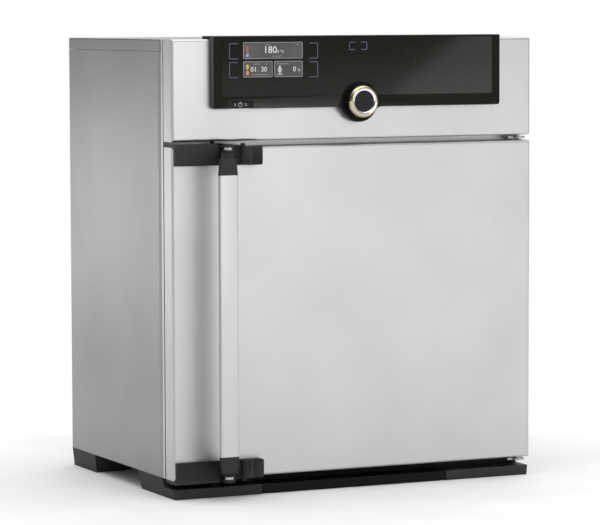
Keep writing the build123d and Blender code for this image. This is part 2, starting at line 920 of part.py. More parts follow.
# Door seal: the silicone ring that presses on the front frame
with BuildPart() as door_seal:
    with BuildSketch(Plane.XZ.offset(-at(door_return))):
        with Locations((0, door_mid_z)):
            inner_width = chamber_width + 2 * seal_offset
            inner_height = chamber_height + 2 * seal_offset
            inner_radius = chamber_radius + seal_offset
            RectangleRounded(
                inner_width + 2 * seal_width, inner_height + 2 * seal_width, inner_radius + seal_width
            )
            RectangleRounded(inner_width, inner_height, inner_radius, mode=Mode.SUBTRACT)
    extrude(amount=-(frame_setback - door_return - seal_air))
    chamfer(door_seal.faces().sort_by(Axis.Y)[-1].edges(), seal_lip)
write(door_seal, "door_seal")

# Fixed hinges: a leaf with its pin above the door, and one with a thrust collar below it
pin_bite = hinge_block_height + skin
upper_leaf_z = door_top_z + leaf_gap
lower_leaf_z = door_bottom_z - leaf_gap - leaf_thickness
with BuildPart() as hinge_leaf_upper:
    block(
        (hinge_x - 2 * leaf_half, hinge_x + leaf_half),
        (hinge_y, at(frame_setback)),
        (upper_leaf_z, upper_leaf_z + leaf_thickness),
    )
    upright(hinge_x, hinge_y, (upper_leaf_z, upper_leaf_z + leaf_thickness), leaf_half)
    block(
        (hinge_x - 2 * leaf_half, hinge_x + leaf_half),
        (at(header_return), at(frame_setback)),
        (upper_leaf_z, header_bottom_z + leaf_rise),
    )
    upright(
        hinge_x,
        hinge_y,
        (upper_leaf_z - 1, upper_leaf_z + leaf_thickness + 1),
        hinge_pin_radius + fixed_fit,
        mode=Mode.SUBTRACT,
    )
write(hinge_leaf_upper, "hinge_leaf_upper")


def base_arm(x_limits, tip_y, z_limits):
    """Add an arm that is fixed under the base plate and runs forward below the door."""
    block(x_limits, (tip_y, at(arm_length)), z_limits)
    block(x_limits, (at(frame_setback + arm_step), at(arm_length)), (z_limits[0], foot_height))


with BuildPart() as hinge_leaf_lower:
    base_arm(
        (hinge_x - 2 * leaf_half, hinge_x + leaf_half),
        hinge_y,
        (lower_leaf_z, lower_leaf_z + leaf_thickness),
    )
    upright(hinge_x, hinge_y, (lower_leaf_z, lower_leaf_z + leaf_thickness), leaf_half)
    upright(
        hinge_x,
        hinge_y,
        (lower_leaf_z - 1, lower_leaf_z + leaf_thickness + 1),
        hinge_pin_radius + fixed_fit,
        mode=Mode.SUBTRACT,
    )
write(hinge_leaf_lower, "hinge_leaf_lower")

with BuildPart() as hinge_pin_upper:
    upright(
        hinge_x,
        hinge_y,
        (door_top_z - pin_bite, upper_leaf_z + leaf_thickness),
        hinge_pin_radius,
    )
write(hinge_pin_upper, "hinge_pin_upper")

with BuildPart() as hinge_pin_lower:
    upright(hinge_x, hinge_y, (lower_leaf_z, door_bottom_z + pin_bite), hinge_pin_radius)
    upright(
        hinge_x,
        hinge_y,
        (lower_leaf_z + leaf_thickness, door_bottom_z - running_fit),
        hinge_pin_radius + pin_collar,
    )
write(hinge_pin_lower, "hinge_pin_lower")

# Catches: studs that the latch fingers reach past, one above the door and one below it
with BuildPart() as catch_stud_upper:
    upright(catch_x, catch_y, (door_top_z + catch_end_gap, header_bottom_z + skin), catch_radius)
    upright(catch_x, catch_y, (header_bottom_z + skin, header_bottom_z + 4 * skin), 2 * catch_radius)
write(catch_stud_upper, "catch_stud_upper")

catch_arm_z = foot_lip_height + seam
with BuildPart() as catch_stud_lower:
    base_arm(
        (catch_x - 2 * catch_radius, catch_x + 2 * catch_radius),
        catch_y - 2 * catch_radius,
        (catch_arm_z, catch_arm_z + arm_thickness),
    )
    upright(catch_x, catch_y, (catch_arm_z, door_bottom_z - catch_end_gap), catch_radius)
write(catch_stud_lower, "catch_stud_lower")

# Pockets in the front feet for the arms that run under the base plate
with BuildPart() as foot_front_left:
    add(left_foot.part)
    block(
        (catch_x - 2 * catch_radius - arm_air, catch_x + 2 * catch_radius + arm_air),
        (at(frame_setback - arm_front_room), at(arm_length + arm_air)),
        (catch_arm_z - arm_air / 2, foot_height),
        mode=Mode.SUBTRACT,
    )
write(foot_front_left, "foot_front_left")

with BuildPart() as foot_front_right:
    add(right_foot.part)
    block(
        (hinge_x - 2 * leaf_half - arm_air, hinge_x + leaf_half + arm_air),
        (at(frame_setback), at(arm_length + arm_air)),
        (lower_leaf_z - arm_air, foot_height),
        mode=Mode.SUBTRACT,
    )
write(foot_front_right, "foot_front_right")

# Latch brackets: black mouldings at the door's corners that carry the handle
bracket_bottom_z = door_top_z - bracket_height
bracket_x = (left_x + bracket_left, left_x + bracket_right)
block_x = (left_x + bracket_right - bracket_block_width, left_x + bracket_right)
tray_right = left_x + bracket_tray_length
with BuildPart() as latch_bracket_upper:
    block(bracket_x, (at(-bracket_plate), at(0)), (bracket_bottom_z, door_top_z))
    block(block_x, (at(-bracket_block), at(0)), (bracket_bottom_z, door_top_z))
    fillet(
        latch_bracket_upper.edges().filter_by(Axis.Y).group_by(Axis.X)[-1].sort_by(Axis.Z)[:1],
        bracket_corner,
    )
    fillet(latch_bracket_upper.edges().filter_by(Axis.Z).sort_by(Axis.Y)[:2], bracket_edge)
    upright(
        block_x[0],
        at(-bracket_plate),
        (bracket_bottom_z + barrel_ledge, door_top_z),
        barrel_radius,
    )
    block(bracket_x, (at(0), at(bracket_block)), (bracket_bottom_z, door_top_z), mode=Mode.SUBTRACT)
    block(
        (left_x, tray_right),
        (at(-bracket_plate), at(bracket_tray_rear)),
        (door_top_z, door_top_z + bracket_tray_floor),
    )
    rim_z = (door_top_z + bracket_tray_floor, door_top_z + bracket_tray_height)
    block((left_x, left_x + rim), (at(-bracket_plate), at(bracket_tray_rear)), rim_z)
    block((tray_right - rim, tray_right), (at(-bracket_plate), at(rim_return)), rim_z)
    block((left_x, pivot_x - lug_radius), (at(-bracket_plate), at(-bracket_plate + rim)), rim_z)
    block((pivot_x + swing_room, tray_right), (at(-bracket_plate), at(-bracket_plate + rim)), rim_z)
    upright(pivot_x, pivot_y, (door_top_z, door_top_z + bracket_tray_floor), lug_radius)
    block(
        (pivot_x - lug_radius, pivot_x + lug_radius),
        (pivot_y, at(-bracket_plate)),
        (door_top_z, door_top_z + bracket_tray_floor),
    )
    upright(
        pivot_x,
        pivot_y,
        (bracket_bottom_z - 1, door_top_z),
        hub_radius + hub_room,
        mode=Mode.SUBTRACT,
    )
    upright(
        pivot_x,
        pivot_y,
        (door_top_z - 1, door_top_z + bracket_tray_height),
        pivot_radius + running_fit,
        mode=Mode.SUBTRACT,
    )
latch_bracket_lower = mirrored(latch_bracket_upper, door_mid_plane)
write(latch_bracket_upper, "latch_bracket_upper")
write(latch_bracket_lower, "latch_bracket_lower")

# Handle bar: a flat tube between the two levers
with BuildPart() as handle_bar:
    with BuildSketch(Plane.XY.offset(bar_bottom_z)):
        with Locations((bar_x, bar_y)):
            RectangleRounded(bar_width, bar_thickness, bar_radius)
            RectangleRounded(
                bar_width - 2 * bar_wall,
                bar_thickness - 2 * bar_wall,
                bar_radius - bar_wall,
                mode=Mode.SUBTRACT,
            )
    extrude(amount=bar_top_z - bar_bottom_z)
write(handle_bar, "handle_bar")

# Levers: black arms that join the bar to the pivots, with a plug inside the tube
hub_top_z = door_top_z - hub_drop
hub_bottom_z = hub_top_z - hub_height
plug_half_x = bar_width / 2 - bar_wall - fixed_fit
plug_half_y = bar_thickness / 2 - bar_wall - fixed_fit
arm_line = Vector(bar_x - pivot_x, bar_y - pivot_y, 0)
with BuildPart() as lever_upper:
    upright(pivot_x, pivot_y, (hub_bottom_z, hub_top_z), hub_radius)
    hub_plane = Plane(
        origin=(pivot_x, pivot_y, (hub_bottom_z + hub_top_z) / 2),
        x_dir=(0, 0, 1),
        z_dir=arm_line,
    )
    cap_plane = Plane(
        origin=(bar_x, bar_y, bar_top_z + cap_height / 2),
        x_dir=(0, 0, 1),
        z_dir=arm_line,
    )
    with BuildSketch(hub_plane):
        Rectangle(hub_height, 2 * hub_radius - arm_bevel)
    with BuildSketch(cap_plane):
        Rectangle(cap_height - arm_bevel, cap_top_width - cap_bevel)
    loft()
    with BuildSketch(Plane.XY.offset(bar_top_z)):
        with Locations((bar_x, bar_y)):
            RectangleRounded(cap_bottom_width, bar_thickness, bar_radius)
    with BuildSketch(Plane.XY.offset(bar_top_z + cap_height)):
        with Locations((bar_x, bar_y)):
            RectangleRounded(cap_top_width, bar_thickness, bar_radius)
    loft()
    block(
        (bar_x - plug_half_x, bar_x + plug_half_x),
        (bar_y - plug_half_y, bar_y + plug_half_y),
        (bar_top_z - lever_plug, bar_top_z),
    )
    fillet(lever_upper.edges().filter_by(Axis.Z).group_by(Axis.Z)[0], plug_edge)
    upright(
        pivot_x,
        pivot_y,
        (hub_bottom_z - 1, hub_top_z + 1),
        pivot_radius + fixed_fit,
        mode=Mode.SUBTRACT,
    )
lever_lower = mirrored(lever_upper, door_mid_plane)
write(lever_upper, "lever_upper")
write(lever_lower, "lever_lower")

# Pivot pins: steel pins with a collar between the lever and the bracket
cam_z = door_top_z + bracket_tray_floor + cam_air
with BuildPart() as pivot_pins:
    upright(pivot_x, pivot_y, (hub_bottom_z, cam_z + cam_thickness), pivot_radius)
    upright(pivot_x, pivot_y, (hub_top_z, door_top_z - collar_air), pivot_collar_radius)
    mirror(about=door_mid_plane)
write(pivot_pins, "pivot_pins")

# Latch fingers: flat cams on the pivot pins that reach back past the catches
with BuildPart() as latch_fingers:
    with BuildSketch(Plane.XY.offset(cam_z)):
        with Locations((pivot_x, pivot_y)):
            Circle(hub_radius)
        with Locations((pivot_x, (pivot_y + at(cam_tip)) / 2)):
            RectangleRounded(cam_width, at(cam_tip) - pivot_y + cam_width / 2, cam_width / 2 - 0.5)
        with Locations((pivot_x, pivot_y)):
            Circle(pivot_radius + fixed_fit, mode=Mode.SUBTRACT)
    extrude(amount=cam_thickness)
    mirror(about=door_mid_plane)
write(latch_fingers, "latch_fingers")

# Control panel: a moulded frame that hooks over the header, with a round lobe for the knob
bezel_x = bezel_width / 2
with BuildPart() as control_bezel:
    with BuildSketch(Plane.XZ.offset(-at(0))) as bezel_outline:
        with Locations((0, (bezel_bottom_z + bezel_top_z) / 2)):
            Rectangle(bezel_width, bezel_top_z - bezel_bottom_z)
        with Locations((0, knob_z)):
            Circle(lobe_radius)
        edge_points = bezel_outline.vertices().filter_by_position(
            Axis.Y, bezel_bottom_z - 0.01, bezel_bottom_z + 0.01
        )
        fillet(edge_points.filter_by_position(Axis.X, -lobe_radius, lobe_radius), lobe_blend)
        low_corners = bezel_outline.vertices().group_by(Axis.X)
        fillet((low_corners[0] + low_corners[-1]).sort_by(Axis.Y)[:2], bezel_radius)
    extrude(amount=bezel_front)
    fillet(control_bezel.faces().sort_by(Axis.Y)[0].edges(), bezel_edge)
    block(
        (-bezel_x, bezel_x),
        (at(0), at(bezel_top_reach)),
        (bezel_top_z - bezel_top_thickness, bezel_top_z),
    )
    block(
        (-bezel_x, bezel_x),
        (at(bezel_top_reach - bezel_wall), at(bezel_top_reach)),
        (housing_top_z, bezel_top_z),
    )
    hollow_z = (bezel_bottom_z + bezel_wall, housing_top_z - bezel_wall)
    for side in (-1, 1):
        block(
            sorted((side * (dish_radius + lobe_room), side * (bezel_x - bezel_wall))),
            (at(-bezel_front + bezel_wall + glass_thickness), at(1)),
            hollow_z,
            mode=Mode.SUBTRACT,
        )
    glass_cut_z = (bezel_bottom_z + glass_bottom_margin, bezel_top_z - glass_top_margin)
    with BuildSketch(Plane.XZ.offset(-at(-bezel_front + glass_thickness))):
        with Locations((0, (glass_cut_z[0] + glass_cut_z[1]) / 2)):
            Rectangle(bezel_width - 2 * glass_side_margin, glass_cut_z[1] - glass_cut_z[0])
        with Locations((0, knob_z)):
            Circle(lobe_radius, mode=Mode.SUBTRACT)
    extrude(amount=2 * glass_thickness, mode=Mode.SUBTRACT)
    lengthwise(
        0,
        (at(-bezel_front - 1), at(-bezel_front + dish_depth)),
        knob_z,
        dish_radius,
        mode=Mode.SUBTRACT,
    )
    lengthwise(
        0,
        (at(-bezel_front), at(1)),
        knob_z,
        shaft_radius + shaft_room,
        mode=Mode.SUBTRACT,
    )
    button_x = (-bezel_x + button_left, -bezel_x + button_left + button_width)
    block(
        (button_x[0] - seam, button_x[1] + seam),
        (at(-bezel_front - 1), at(1)),
        (bezel_bottom_z - 1, bezel_bottom_z + button_height + seam),
        mode=Mode.SUBTRACT,
    )
    display_x = (-bezel_x + display_left, -bezel_x + display_left + display_width)
    display_z = (bezel_top_z - display_drop - display_height, bezel_top_z - display_drop)
    block(
        (display_x[0] - seam, display_x[1] + seam),
        (at(-bezel_front), at(1)),
        (display_z[0] - seam, display_z[1] + seam),
        mode=Mode.SUBTRACT,
    )
write(control_bezel, "control_bezel")

# Control glass: the smooth plate in front of the display, cut round at the knob
with BuildPart() as control_glass:
    with BuildSketch(Plane.XZ.offset(-at(-bezel_front + glass_thickness))):
        with Locations((0, (glass_cut_z[0] + glass_cut_z[1]) / 2)):
            Rectangle(
                bezel_width - 2 * glass_side_margin - 2 * glass_air,
                glass_cut_z[1] - glass_cut_z[0] - 2 * glass_air,
            )
        with Locations((0, knob_z)):
            Circle(lobe_radius + glass_air, mode=Mode.SUBTRACT)
    extrude(amount=glass_thickness)
write(control_glass, "control_glass")

# Display: the flat screen module right behind the glass
with BuildPart() as display_module:
    block(
        display_x,
        (at(-bezel_front + glass_thickness), at(-bezel_front + glass_thickness + display_thickness)),
        display_z,
    )
write(display_module, "display_module")

# Control board: carries the encoder, the display and the switch behind the panel
board_x = (-bezel_x + button_left - board_side_margin, encoder_side)
board_z = (bezel_bottom_z + board_bottom_margin, housing_top_z - board_top_margin)
board_y = at(board_setback)
with BuildPart() as control_board:
    block(board_x, (board_y, board_y + board_thickness), board_z)
    chip_y = (board_y + board_thickness, board_y + board_thickness + chip_height)
    for chip_left, chip_rise, side in chips:
        x = board_x[0] + chip_left
        z = board_z[0] + chip_rise
        block((x - side / 2, x + side / 2), chip_y, (z - side / 2, z + side / 2))
write(control_board, "control_board")

# Board posts: short spacers between the display, the panel and the board
with BuildPart() as board_posts:
    post_y = (at(-bezel_front + glass_thickness + display_thickness), board_y)
    for x in (display_x[0] + post_inset, display_x[1] - post_inset):
        for z in (display_z[0] + post_inset, display_z[1] - post_inset):
            lengthwise(x, post_y, z, post_radius)
write(board_posts, "board_posts")

# Switch: the small body on the board that the key presses
with BuildPart() as switch_body:
    key_middle = -bezel_x + button_left + button_width / 2
    block(
        (key_middle - switch_width / 2, key_middle + switch_width / 2),
        (at(-bezel_front + button_sink + button_thickness + button_travel + button_air), board_y),
        (bezel_bottom_z + switch_bottom, bezel_bottom_z + button_height - button_air),
    )
write(switch_body, "switch_body")

# Encoder: the square body on the board in which the knob's shaft turns
with BuildPart() as encoder_body:
    block(
        (-encoder_side / 2, encoder_side / 2),
        (at(0), board_y),
        (knob_z - encoder_side / 2, knob_z + encoder_side / 2),
    )
    lengthwise(
        0,
        (at(-1), board_y - encoder_floor),
        knob_z,
        shaft_radius + running_fit,
        mode=Mode.SUBTRACT,
    )
write(encoder_body, "encoder_body")

# Knob: a turned metal ring on a black core, on the encoder's shaft
shaft_tip = at(-knob_core_front + shaft_engagement)
with BuildPart() as knob_shaft:
    lengthwise(0, (shaft_tip, board_y - encoder_floor - shaft_room), knob_z, shaft_radius)
write(knob_shaft, "knob_shaft")

with BuildPart() as knob_core:
    lengthwise(0, (at(-knob_core_front), at(-knob_core_rear)), knob_z, knob_core_radius)
    chamfer(knob_core.faces().sort_by(Axis.Y)[-1].edges(), core_bevel)
    lengthwise(
        0,
        (shaft_tip - knob_push - shaft_room, at(0)),
        knob_z,
        shaft_radius + running_fit,
        mode=Mode.SUBTRACT,
    )
write(knob_core, "knob_core")

ring_rear = knob_front - knob_ring_length
with BuildPart() as knob_ring:
    with BuildSketch(Plane.YZ):
        with BuildLine():
            Polyline(
                (at(-ring_rear), knob_z + knob_core_radius + fixed_fit),
                (at(-ring_rear), knob_z + knob_radius - ring_edge),
                (at(-ring_rear - ring_edge), knob_z + knob_radius),
                *[(at(-knob_front + back), knob_z + knob_radius - down) for back, down in ring_bevel],
                (at(-knob_front), knob_z + knob_face_radius + ring_lip),
                (at(-knob_core_front), knob_z + knob_face_radius + ring_step),
                (at(-knob_core_front), knob_z + knob_core_radius + fixed_fit),
                close=True,
            )
        make_face()
    revolve(axis=Axis((0, 0, knob_z), (0, 1, 0)))
write(knob_ring, "knob_ring")

with BuildPart() as knob_face:
    face_y = (at(-knob_core_front - face_thickness), at(-knob_core_front))
    lengthwise(0, face_y, knob_z, knob_face_radius)
    chamfer(knob_face.faces().sort_by(Axis.Y)[0].edges(), face_edge)
write(knob_face, "knob_face")

# Main switch: a push key in its recess at the panel's lower edge
key_front = at(-bezel_front + button_sink)
with BuildPart() as power_button:
    block(
        button_x,
        (key_front, key_front + button_thickness),
        (bezel_bottom_z + button_air, bezel_bottom_z + button_height),
    )
    fillet(power_button.faces().sort_by(Axis.Y)[0].edges(), button_edge)
write(power_button, "power_button")

# Shelves: welded wire grids that slide on the liner's ribs
shelf_half = chamber_width / 2 - rib_reach + shelf_bite
shelf_y = (at(frame_setback + shelf_front_gap), chamber_rear_y - shelf_rear_gap)


def wire_shelf(level):
    """Build one wire grid that lies on a pair of ribs."""
    rest_z = rib_height(level) + rib_crest / 2 + shelf_air
    middle_z = rest_z + rail_radius
    middle_y = (shelf_y[0] + shelf_y[1]) / 2
    rail_x = shelf_half - rail_radius
    rail_y = (shelf_y[0] + rail_radius, shelf_y[1] - rail_radius)
    with BuildPart() as shelf:
        with BuildLine(Plane.XY.offset(middle_z)) as loop:
            FilletPolyline(
                (-rail_x, rail_y[0]),
                (rail_x, rail_y[0]),
                (rail_x, rail_y[1]),
                (-rail_x, rail_y[1]),
                radius=shelf_corner,
                close=True,
            )
        with BuildSketch(Plane(origin=loop.line @ 0, z_dir=loop.line % 0)):
            Circle(rail_radius)
        sweep()
        with Locations((0, middle_y, middle_z)):
            with GridLocations(2 * rail_x / (shelf_wire_count + 1), 0, shelf_wire_count, 1):
                Cylinder(wire_radius, rail_y[1] - rail_y[0], rotation=(90, 0, 0))
    return shelf


write(wire_shelf(shelf_levels[0]), "shelf_lower")
write(wire_shelf(shelf_levels[1]), "shelf_upper")
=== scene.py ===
"""Dresses the bench-top laboratory incubator.

It gives each part its finish, and adds the screen's marks, the knob, the handle, the seal, the camera and
the light. Sizes are in millimetres unless a comment says otherwise.
"""

import logging
import math
from dataclasses import dataclass, field
from enum import Enum
from typing import Dict, List, Optional, Protocol, Sequence, Tuple, Union

import bmesh
import bpy
from mathutils import Matrix, Quaternion, Vector


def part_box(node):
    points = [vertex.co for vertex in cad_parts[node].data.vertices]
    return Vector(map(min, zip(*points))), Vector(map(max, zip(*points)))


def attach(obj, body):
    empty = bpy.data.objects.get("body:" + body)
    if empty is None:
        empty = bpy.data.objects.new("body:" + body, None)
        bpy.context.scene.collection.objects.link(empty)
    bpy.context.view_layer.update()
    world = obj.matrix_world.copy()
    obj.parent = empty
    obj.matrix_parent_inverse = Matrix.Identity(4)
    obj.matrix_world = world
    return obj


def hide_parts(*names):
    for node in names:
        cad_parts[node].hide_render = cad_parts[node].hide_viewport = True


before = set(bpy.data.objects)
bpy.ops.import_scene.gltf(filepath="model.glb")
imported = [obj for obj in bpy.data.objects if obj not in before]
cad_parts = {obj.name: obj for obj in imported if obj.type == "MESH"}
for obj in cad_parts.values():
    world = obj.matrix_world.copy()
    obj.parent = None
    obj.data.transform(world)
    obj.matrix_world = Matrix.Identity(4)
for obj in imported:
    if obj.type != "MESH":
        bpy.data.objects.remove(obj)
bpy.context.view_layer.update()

LOG = logging.getLogger("incubator")
MM = 0.001

# Points of a piece that are nearer than this become one
MERGE = 0.001
# The same on a turned piece, whose ends close on its line
TURNED_MERGE = 0.002
# How far from a cutting plane a point still counts as on it
CUT_TOLERANCE = 1e-5
# The values that a noise pattern seldom leaves
NOISE_LIMITS = (0.3, 0.7)
# The letters' size for a digit of one millimetre, and the segments of their curves
LETTER_SIZE = 1.37
LETTER_STEPS = 3

Pair = Tuple[float, float]
Point = Tuple[float, float, float]
Mesh = bmesh.types.BMesh
Tree = bpy.types.NodeTree
Socket = bpy.types.NodeSocket


class Body(str, Enum):
    """The bodies of the frame that new pieces ride on."""

    HOUSING = "housing"
    DOOR = "door"
    HANDLE = "handle"
    KNOB = "knob"
    KEY = "power_key"


class Axis(Enum):
    """The directions that a plate can face: its own number, then the two across it."""

    Y = (1, 0, 2)
    Z = (2, 0, 1)


# Colour and node helpers


def linear(code: str) -> Tuple[float, float, float, float]:
    """Turn an sRGB hex value into linear light.

    Args:
        code: Six hex digits, with or without a leading hash.

    Returns:
        Red, green, blue and an alpha of one.
    """
    code = code.lstrip("#")
    parts = [int(code[i : i + 2], 16) / 255 for i in (0, 2, 4)]
    bright = [c / 12.92 if c <= 0.04045 else ((c + 0.055) / 1.055) ** 2.4 for c in parts]
    return (bright[0], bright[1], bright[2], 1.0)


def add_node(
    tree: Tree,
    kind: str,
    values: Optional[Dict[str, object]] = None,
    links: Optional[Dict[object, Socket]] = None,
    **settings: object,
) -> bpy.types.Node:
    """Add a node with its settings, its typed values and its links.

    Args:
        tree: The node tree that gets the node.
        kind: The node's type name.
        values: Values of its inputs by name.
        links: Sockets that feed its inputs by name or by number.
        settings: Attributes of the node itself.

    Returns:
        The new node.
    """
    node = tree.nodes.new(kind)
    for key, value in settings.items():
        setattr(node, key, value)
    for key, value in (values or {}).items():
        node.inputs[key].default_value = value
    for key, socket in (links or {}).items():
        tree.links.new(socket, node.inputs[key])
    return node


def start_tree(name: str) -> Tuple[bpy.types.Material, Tree, bpy.types.Node]:
    """Make a material with an empty surface and its output.

    Args:
        name: The material's name.

    Returns:
        The material, its tree and its output node.
    """
    material = bpy.data.materials.new(name)
    material.use_nodes = True
    tree = material.node_tree
    tree.nodes.clear()
    return material, tree, add_node(tree, "ShaderNodeOutputMaterial")


def object_pattern(tree: Tree, cell: Point) -> Socket:
    """Scale object coordinates so that one unit is a cell of a real size.

    Args:
        tree: The node tree.
        cell: The cell's size along each axis, in millimetres.

    Returns:
        The scaled coordinates.
    """
    place = add_node(tree, "ShaderNodeTexCoord")
    scale = tuple(1 / (side * MM) for side in cell)
    mapping = add_node(
        tree, "ShaderNodeMapping", {"Scale": scale}, {"Vector": place.outputs["Object"]}
    )
    return mapping.outputs["Vector"]


def spread(tree: Tree, factor: Socket, dark: float, bright: float) -> Socket:
    """Map the usual range of a noise pattern onto two limits.

    Args:
        tree: The node tree.
        factor: The pattern.
        dark: The value at its dark end.
        bright: The value at its bright end.

    Returns:
        The mapped value.
    """
    start, end = NOISE_LIMITS
    node = add_node(
        tree,
        "ShaderNodeMapRange",
        {"From Min": start, "From Max": end, "To Min": dark, "To Max": bright},
        {"Value": factor},
    )
    return node.outputs["Result"]


def mottled(tree: Tree, tones: Tuple[str, str], cell: Point, detail: float) -> Socket:
    """Mix two colours by a slow pattern.

    Args:
        tree: The node tree.
        tones: Both colours as hex values.
        cell: The pattern's cell along each axis, in millimetres.
        detail: How many finer patterns it holds.

    Returns:
        The mixed colour.
    """
    cloud = add_node(
        tree,
        "ShaderNodeTexNoise",
        {"Scale": 1.0, "Detail": detail, "Roughness": 0.5},
        {"Vector": object_pattern(tree, cell)},
    )
    mix = add_node(
        tree,
        "ShaderNodeMix",
        {"A": linear(tones[0]), "B": linear(tones[1])},
        {"Factor": spread(tree, cloud.outputs["Fac"], 0.0, 1.0)},
        data_type="RGBA",
    )
    return mix.outputs["Result"]


# Finishes


@dataclass(frozen=True)
class Finish:
    """A surface with a fine relief, a slow change of tone and an uneven gloss.

    The grain and the cloud are cells in millimetres along X, Y and Z, so a brushed sheet has one long side.
    The relief is its depth in millimetres, and the gloss is the reflection's level.
    """

    name: str
    colour: str
    other: str
    roughness: Pair
    grain: Point
    relief: float
    cloud: Point = (140.0, 140.0, 140.0)
    cloud_detail: float = 3.0
    metallic: float = 0.0
    gloss: float = 0.5
    coat: float = 0.0
    coat_roughness: float = 0.1
    sheen: float = 0.0
    # Paler convex edges: rub wear and a painted highlight on rounded edges
    worn: float = 0.0

    def build(self) -> bpy.types.Material:
        """Build the material.

        Returns:
            The material with its nodes.
        """
        material, tree, output = start_tree(self.name)
        tone = mottled(tree, (self.colour, self.other), self.cloud, self.cloud_detail)
        grain = add_node(
            tree,
            "ShaderNodeTexNoise",
            {"Scale": 1.0, "Detail": 2.0, "Roughness": 0.6},
            {"Vector": object_pattern(tree, self.grain)},
        )
        bump = add_node(
            tree,
            "ShaderNodeBump",
            {"Strength": 1.0, "Distance": self.relief * MM},
            {"Height": grain.outputs["Fac"]},
        )
        smooth, rough = self.roughness
        surface = add_node(
            tree,
            "ShaderNodeBsdfPrincipled",
            {
                "Metallic": self.metallic,
                "Specular IOR Level": self.gloss,
                "Coat Weight": self.coat,
                "Coat Roughness": self.coat_roughness,
                "Sheen Weight": self.sheen,
            },
            {
                "Base Color": self.wear(tree, tone),
                "Roughness": spread(tree, grain.outputs["Fac"], smooth, rough),
                "Normal": bump.outputs["Normal"],
            },
        )
        tree.links.new(surface.outputs["BSDF"], output.inputs["Surface"])
        return material

    def wear(self, tree: Tree, tone: Socket) -> Socket:
        """Lighten the convex edges: rub wear where hands and cloths rub, and a painted highlight where
        rounded edges catch the light.

        Args:
            tree: The node tree.
            tone: The colour before the pale edges.

        Returns:
            The colour with pale edges.
        """
        if not self.worn:
            return tone
        shape = add_node(tree, "ShaderNodeNewGeometry")
        edge = add_node(
            tree,
            "ShaderNodeMapRange",
            {"From Min": 0.52, "From Max": 0.62, "To Min": 0.0, "To Max": self.worn},
            {"Value": shape.outputs["Pointiness"]},
        )
        light = add_node(
            tree,
            "ShaderNodeMix",
            {"B": (1.0, 1.0, 1.0, 1.0)},
            {"A": tone, "Factor": edge.outputs["Result"]},
            data_type="RGBA",
        )
        return light.outputs["Result"]


@dataclass(frozen=True)
class Lit:
    """A part of the display that gives its own light, with a faint change of tone across it."""

    name: str
    colour: str
    other: str
    strength: float = 1.0
    roughness: float = 0.25
    cloud: Point = (30.0, 30.0, 30.0)
    cloud_detail: float = 1.0

    def build(self) -> bpy.types.Material:
        """Build the material.

        Returns:
            The material with its nodes.
        """
        material, tree, output = start_tree(self.name)
        surface = add_node(
            tree,
            "ShaderNodeBsdfPrincipled",
            {
                "Base Color": linear("000000"),
                "Roughness": self.roughness,
                "Emission Strength": self.strength,
            },
            {"Emission Color": mottled(tree, (self.colour, self.other), self.cloud, self.cloud_detail)},
        )
        tree.links.new(surface.outputs["BSDF"], output.inputs["Surface"])
        return material


Look = Union[Finish, Lit]


# Ground scratches, moulded grain, blasting and turned rings are a tenth of a millimetre wide or less. That
# is too fine to show, so each grain below is drawn coarser, at about half a millimetre or more.

# Stainless steel sheet, rolled with a fine leather pattern: a soft, nearly even sheen
TEXTURED_STEEL = Finish(
    "textured_stainless_sheet", "CDCDCE", "C6C6C7", (0.38, 0.46), (1.3, 1.3, 1.3), 0.035, metallic=1.0
)
# The same sheet on the casing, darker than on the front: painted shade, for the real sheet is alike and
# only the light on the sides differs. Its pattern is drawn out upright
CASING_STEEL = Finish(
    "casing_stainless_painted_shade", "A0A0A2", "98999B", (0.36, 0.45), (1.3, 1.3, 2.6), 0.035, metallic=1.0
)
# Stainless steel, belt ground: long scratches from front to rear, wider here than real ones
BRUSHED_STEEL = Finish(
    "brushed_stainless", "C9C9CA", "BEBFC0", (0.28, 0.4), (1.2, 30.0, 1.2), 0.02, metallic=1.0
)
# Stainless steel, pressed and pickled: soft and a little cloudy
PRESSED_STEEL = Finish(
    "pressed_stainless", "C4C4C6", "B7B8BA", (0.3, 0.42), (1.6, 1.6, 1.6), 0.02, metallic=1.0
)
# Stainless wire, drawn and electropolished: bright and smooth
POLISHED_STEEL = Finish(
    "polished_stainless", "D6D6D8", "CACBCD", (0.12, 0.2), (3.0, 3.0, 3.0), 0.005, metallic=1.0
)
# Steel sheet, zinc plated: grey with a weak crystal pattern
ZINC_STEEL = Finish(
    "zinc_plated_steel",
    "B4B7BA",
    "A2A6AB",
    (0.34, 0.5),
    (4.0, 4.0, 4.0),
    0.02,
    cloud=(18.0, 18.0, 18.0),
    metallic=1.0,
)
# Aluminium tube, blasted and anodised: pale, even and silky
HANDLE_METAL = Finish(
    "anodised_aluminium_tube", "CDCDCF", "C7C7C9", (0.36, 0.42), (0.8, 0.8, 9.0), 0.012, metallic=1.0
)
# Steel pin, turned: rings that are wider than real ones, and a clear gloss
PIN_STEEL = Finish(
    "turned_steel", "B9BABC", "A7A8AA", (0.2, 0.3), (4.0, 4.0, 0.5), 0.01, metallic=1.0
)
# Aluminium, turned and anodised: a warm tint and a fine ringed gloss
KNOB_METAL = Finish(
    "anodised_warm_aluminium", "CFC9AC", "BDB697", (0.18, 0.26), (3.0, 0.5, 3.0), 0.006, metallic=1.0
)
# Aluminium, diamond cut: nearly a mirror, on the bevel round the knob's face
BRIGHT_CUT = Finish(
    "diamond_cut_aluminium", "F2F2F4", "E6E6EA", (0.1, 0.16), (3.0, 0.4, 3.0), 0.003, metallic=1.0
)
# Glass-filled polyamide, moulded against an eroded tool: black with a fine dull grain
BLACK_MOULDING = Finish(
    "moulded_polyamide", "191A1A", "1F1F20", (0.4, 0.55), (0.9, 0.9, 0.9), 0.05, gloss=0.12, worn=0.03
)
# ABS, moulded: black with a warm cast, a satin gloss and edges a little paler, from wear and from a painted
# highlight on the rounded edges
PANEL_MOULDING = Finish(
    "moulded_abs", "12120D", "161611", (0.3, 0.4), (1.2, 1.2, 1.2), 0.015, gloss=0.1, worn=0.1
)
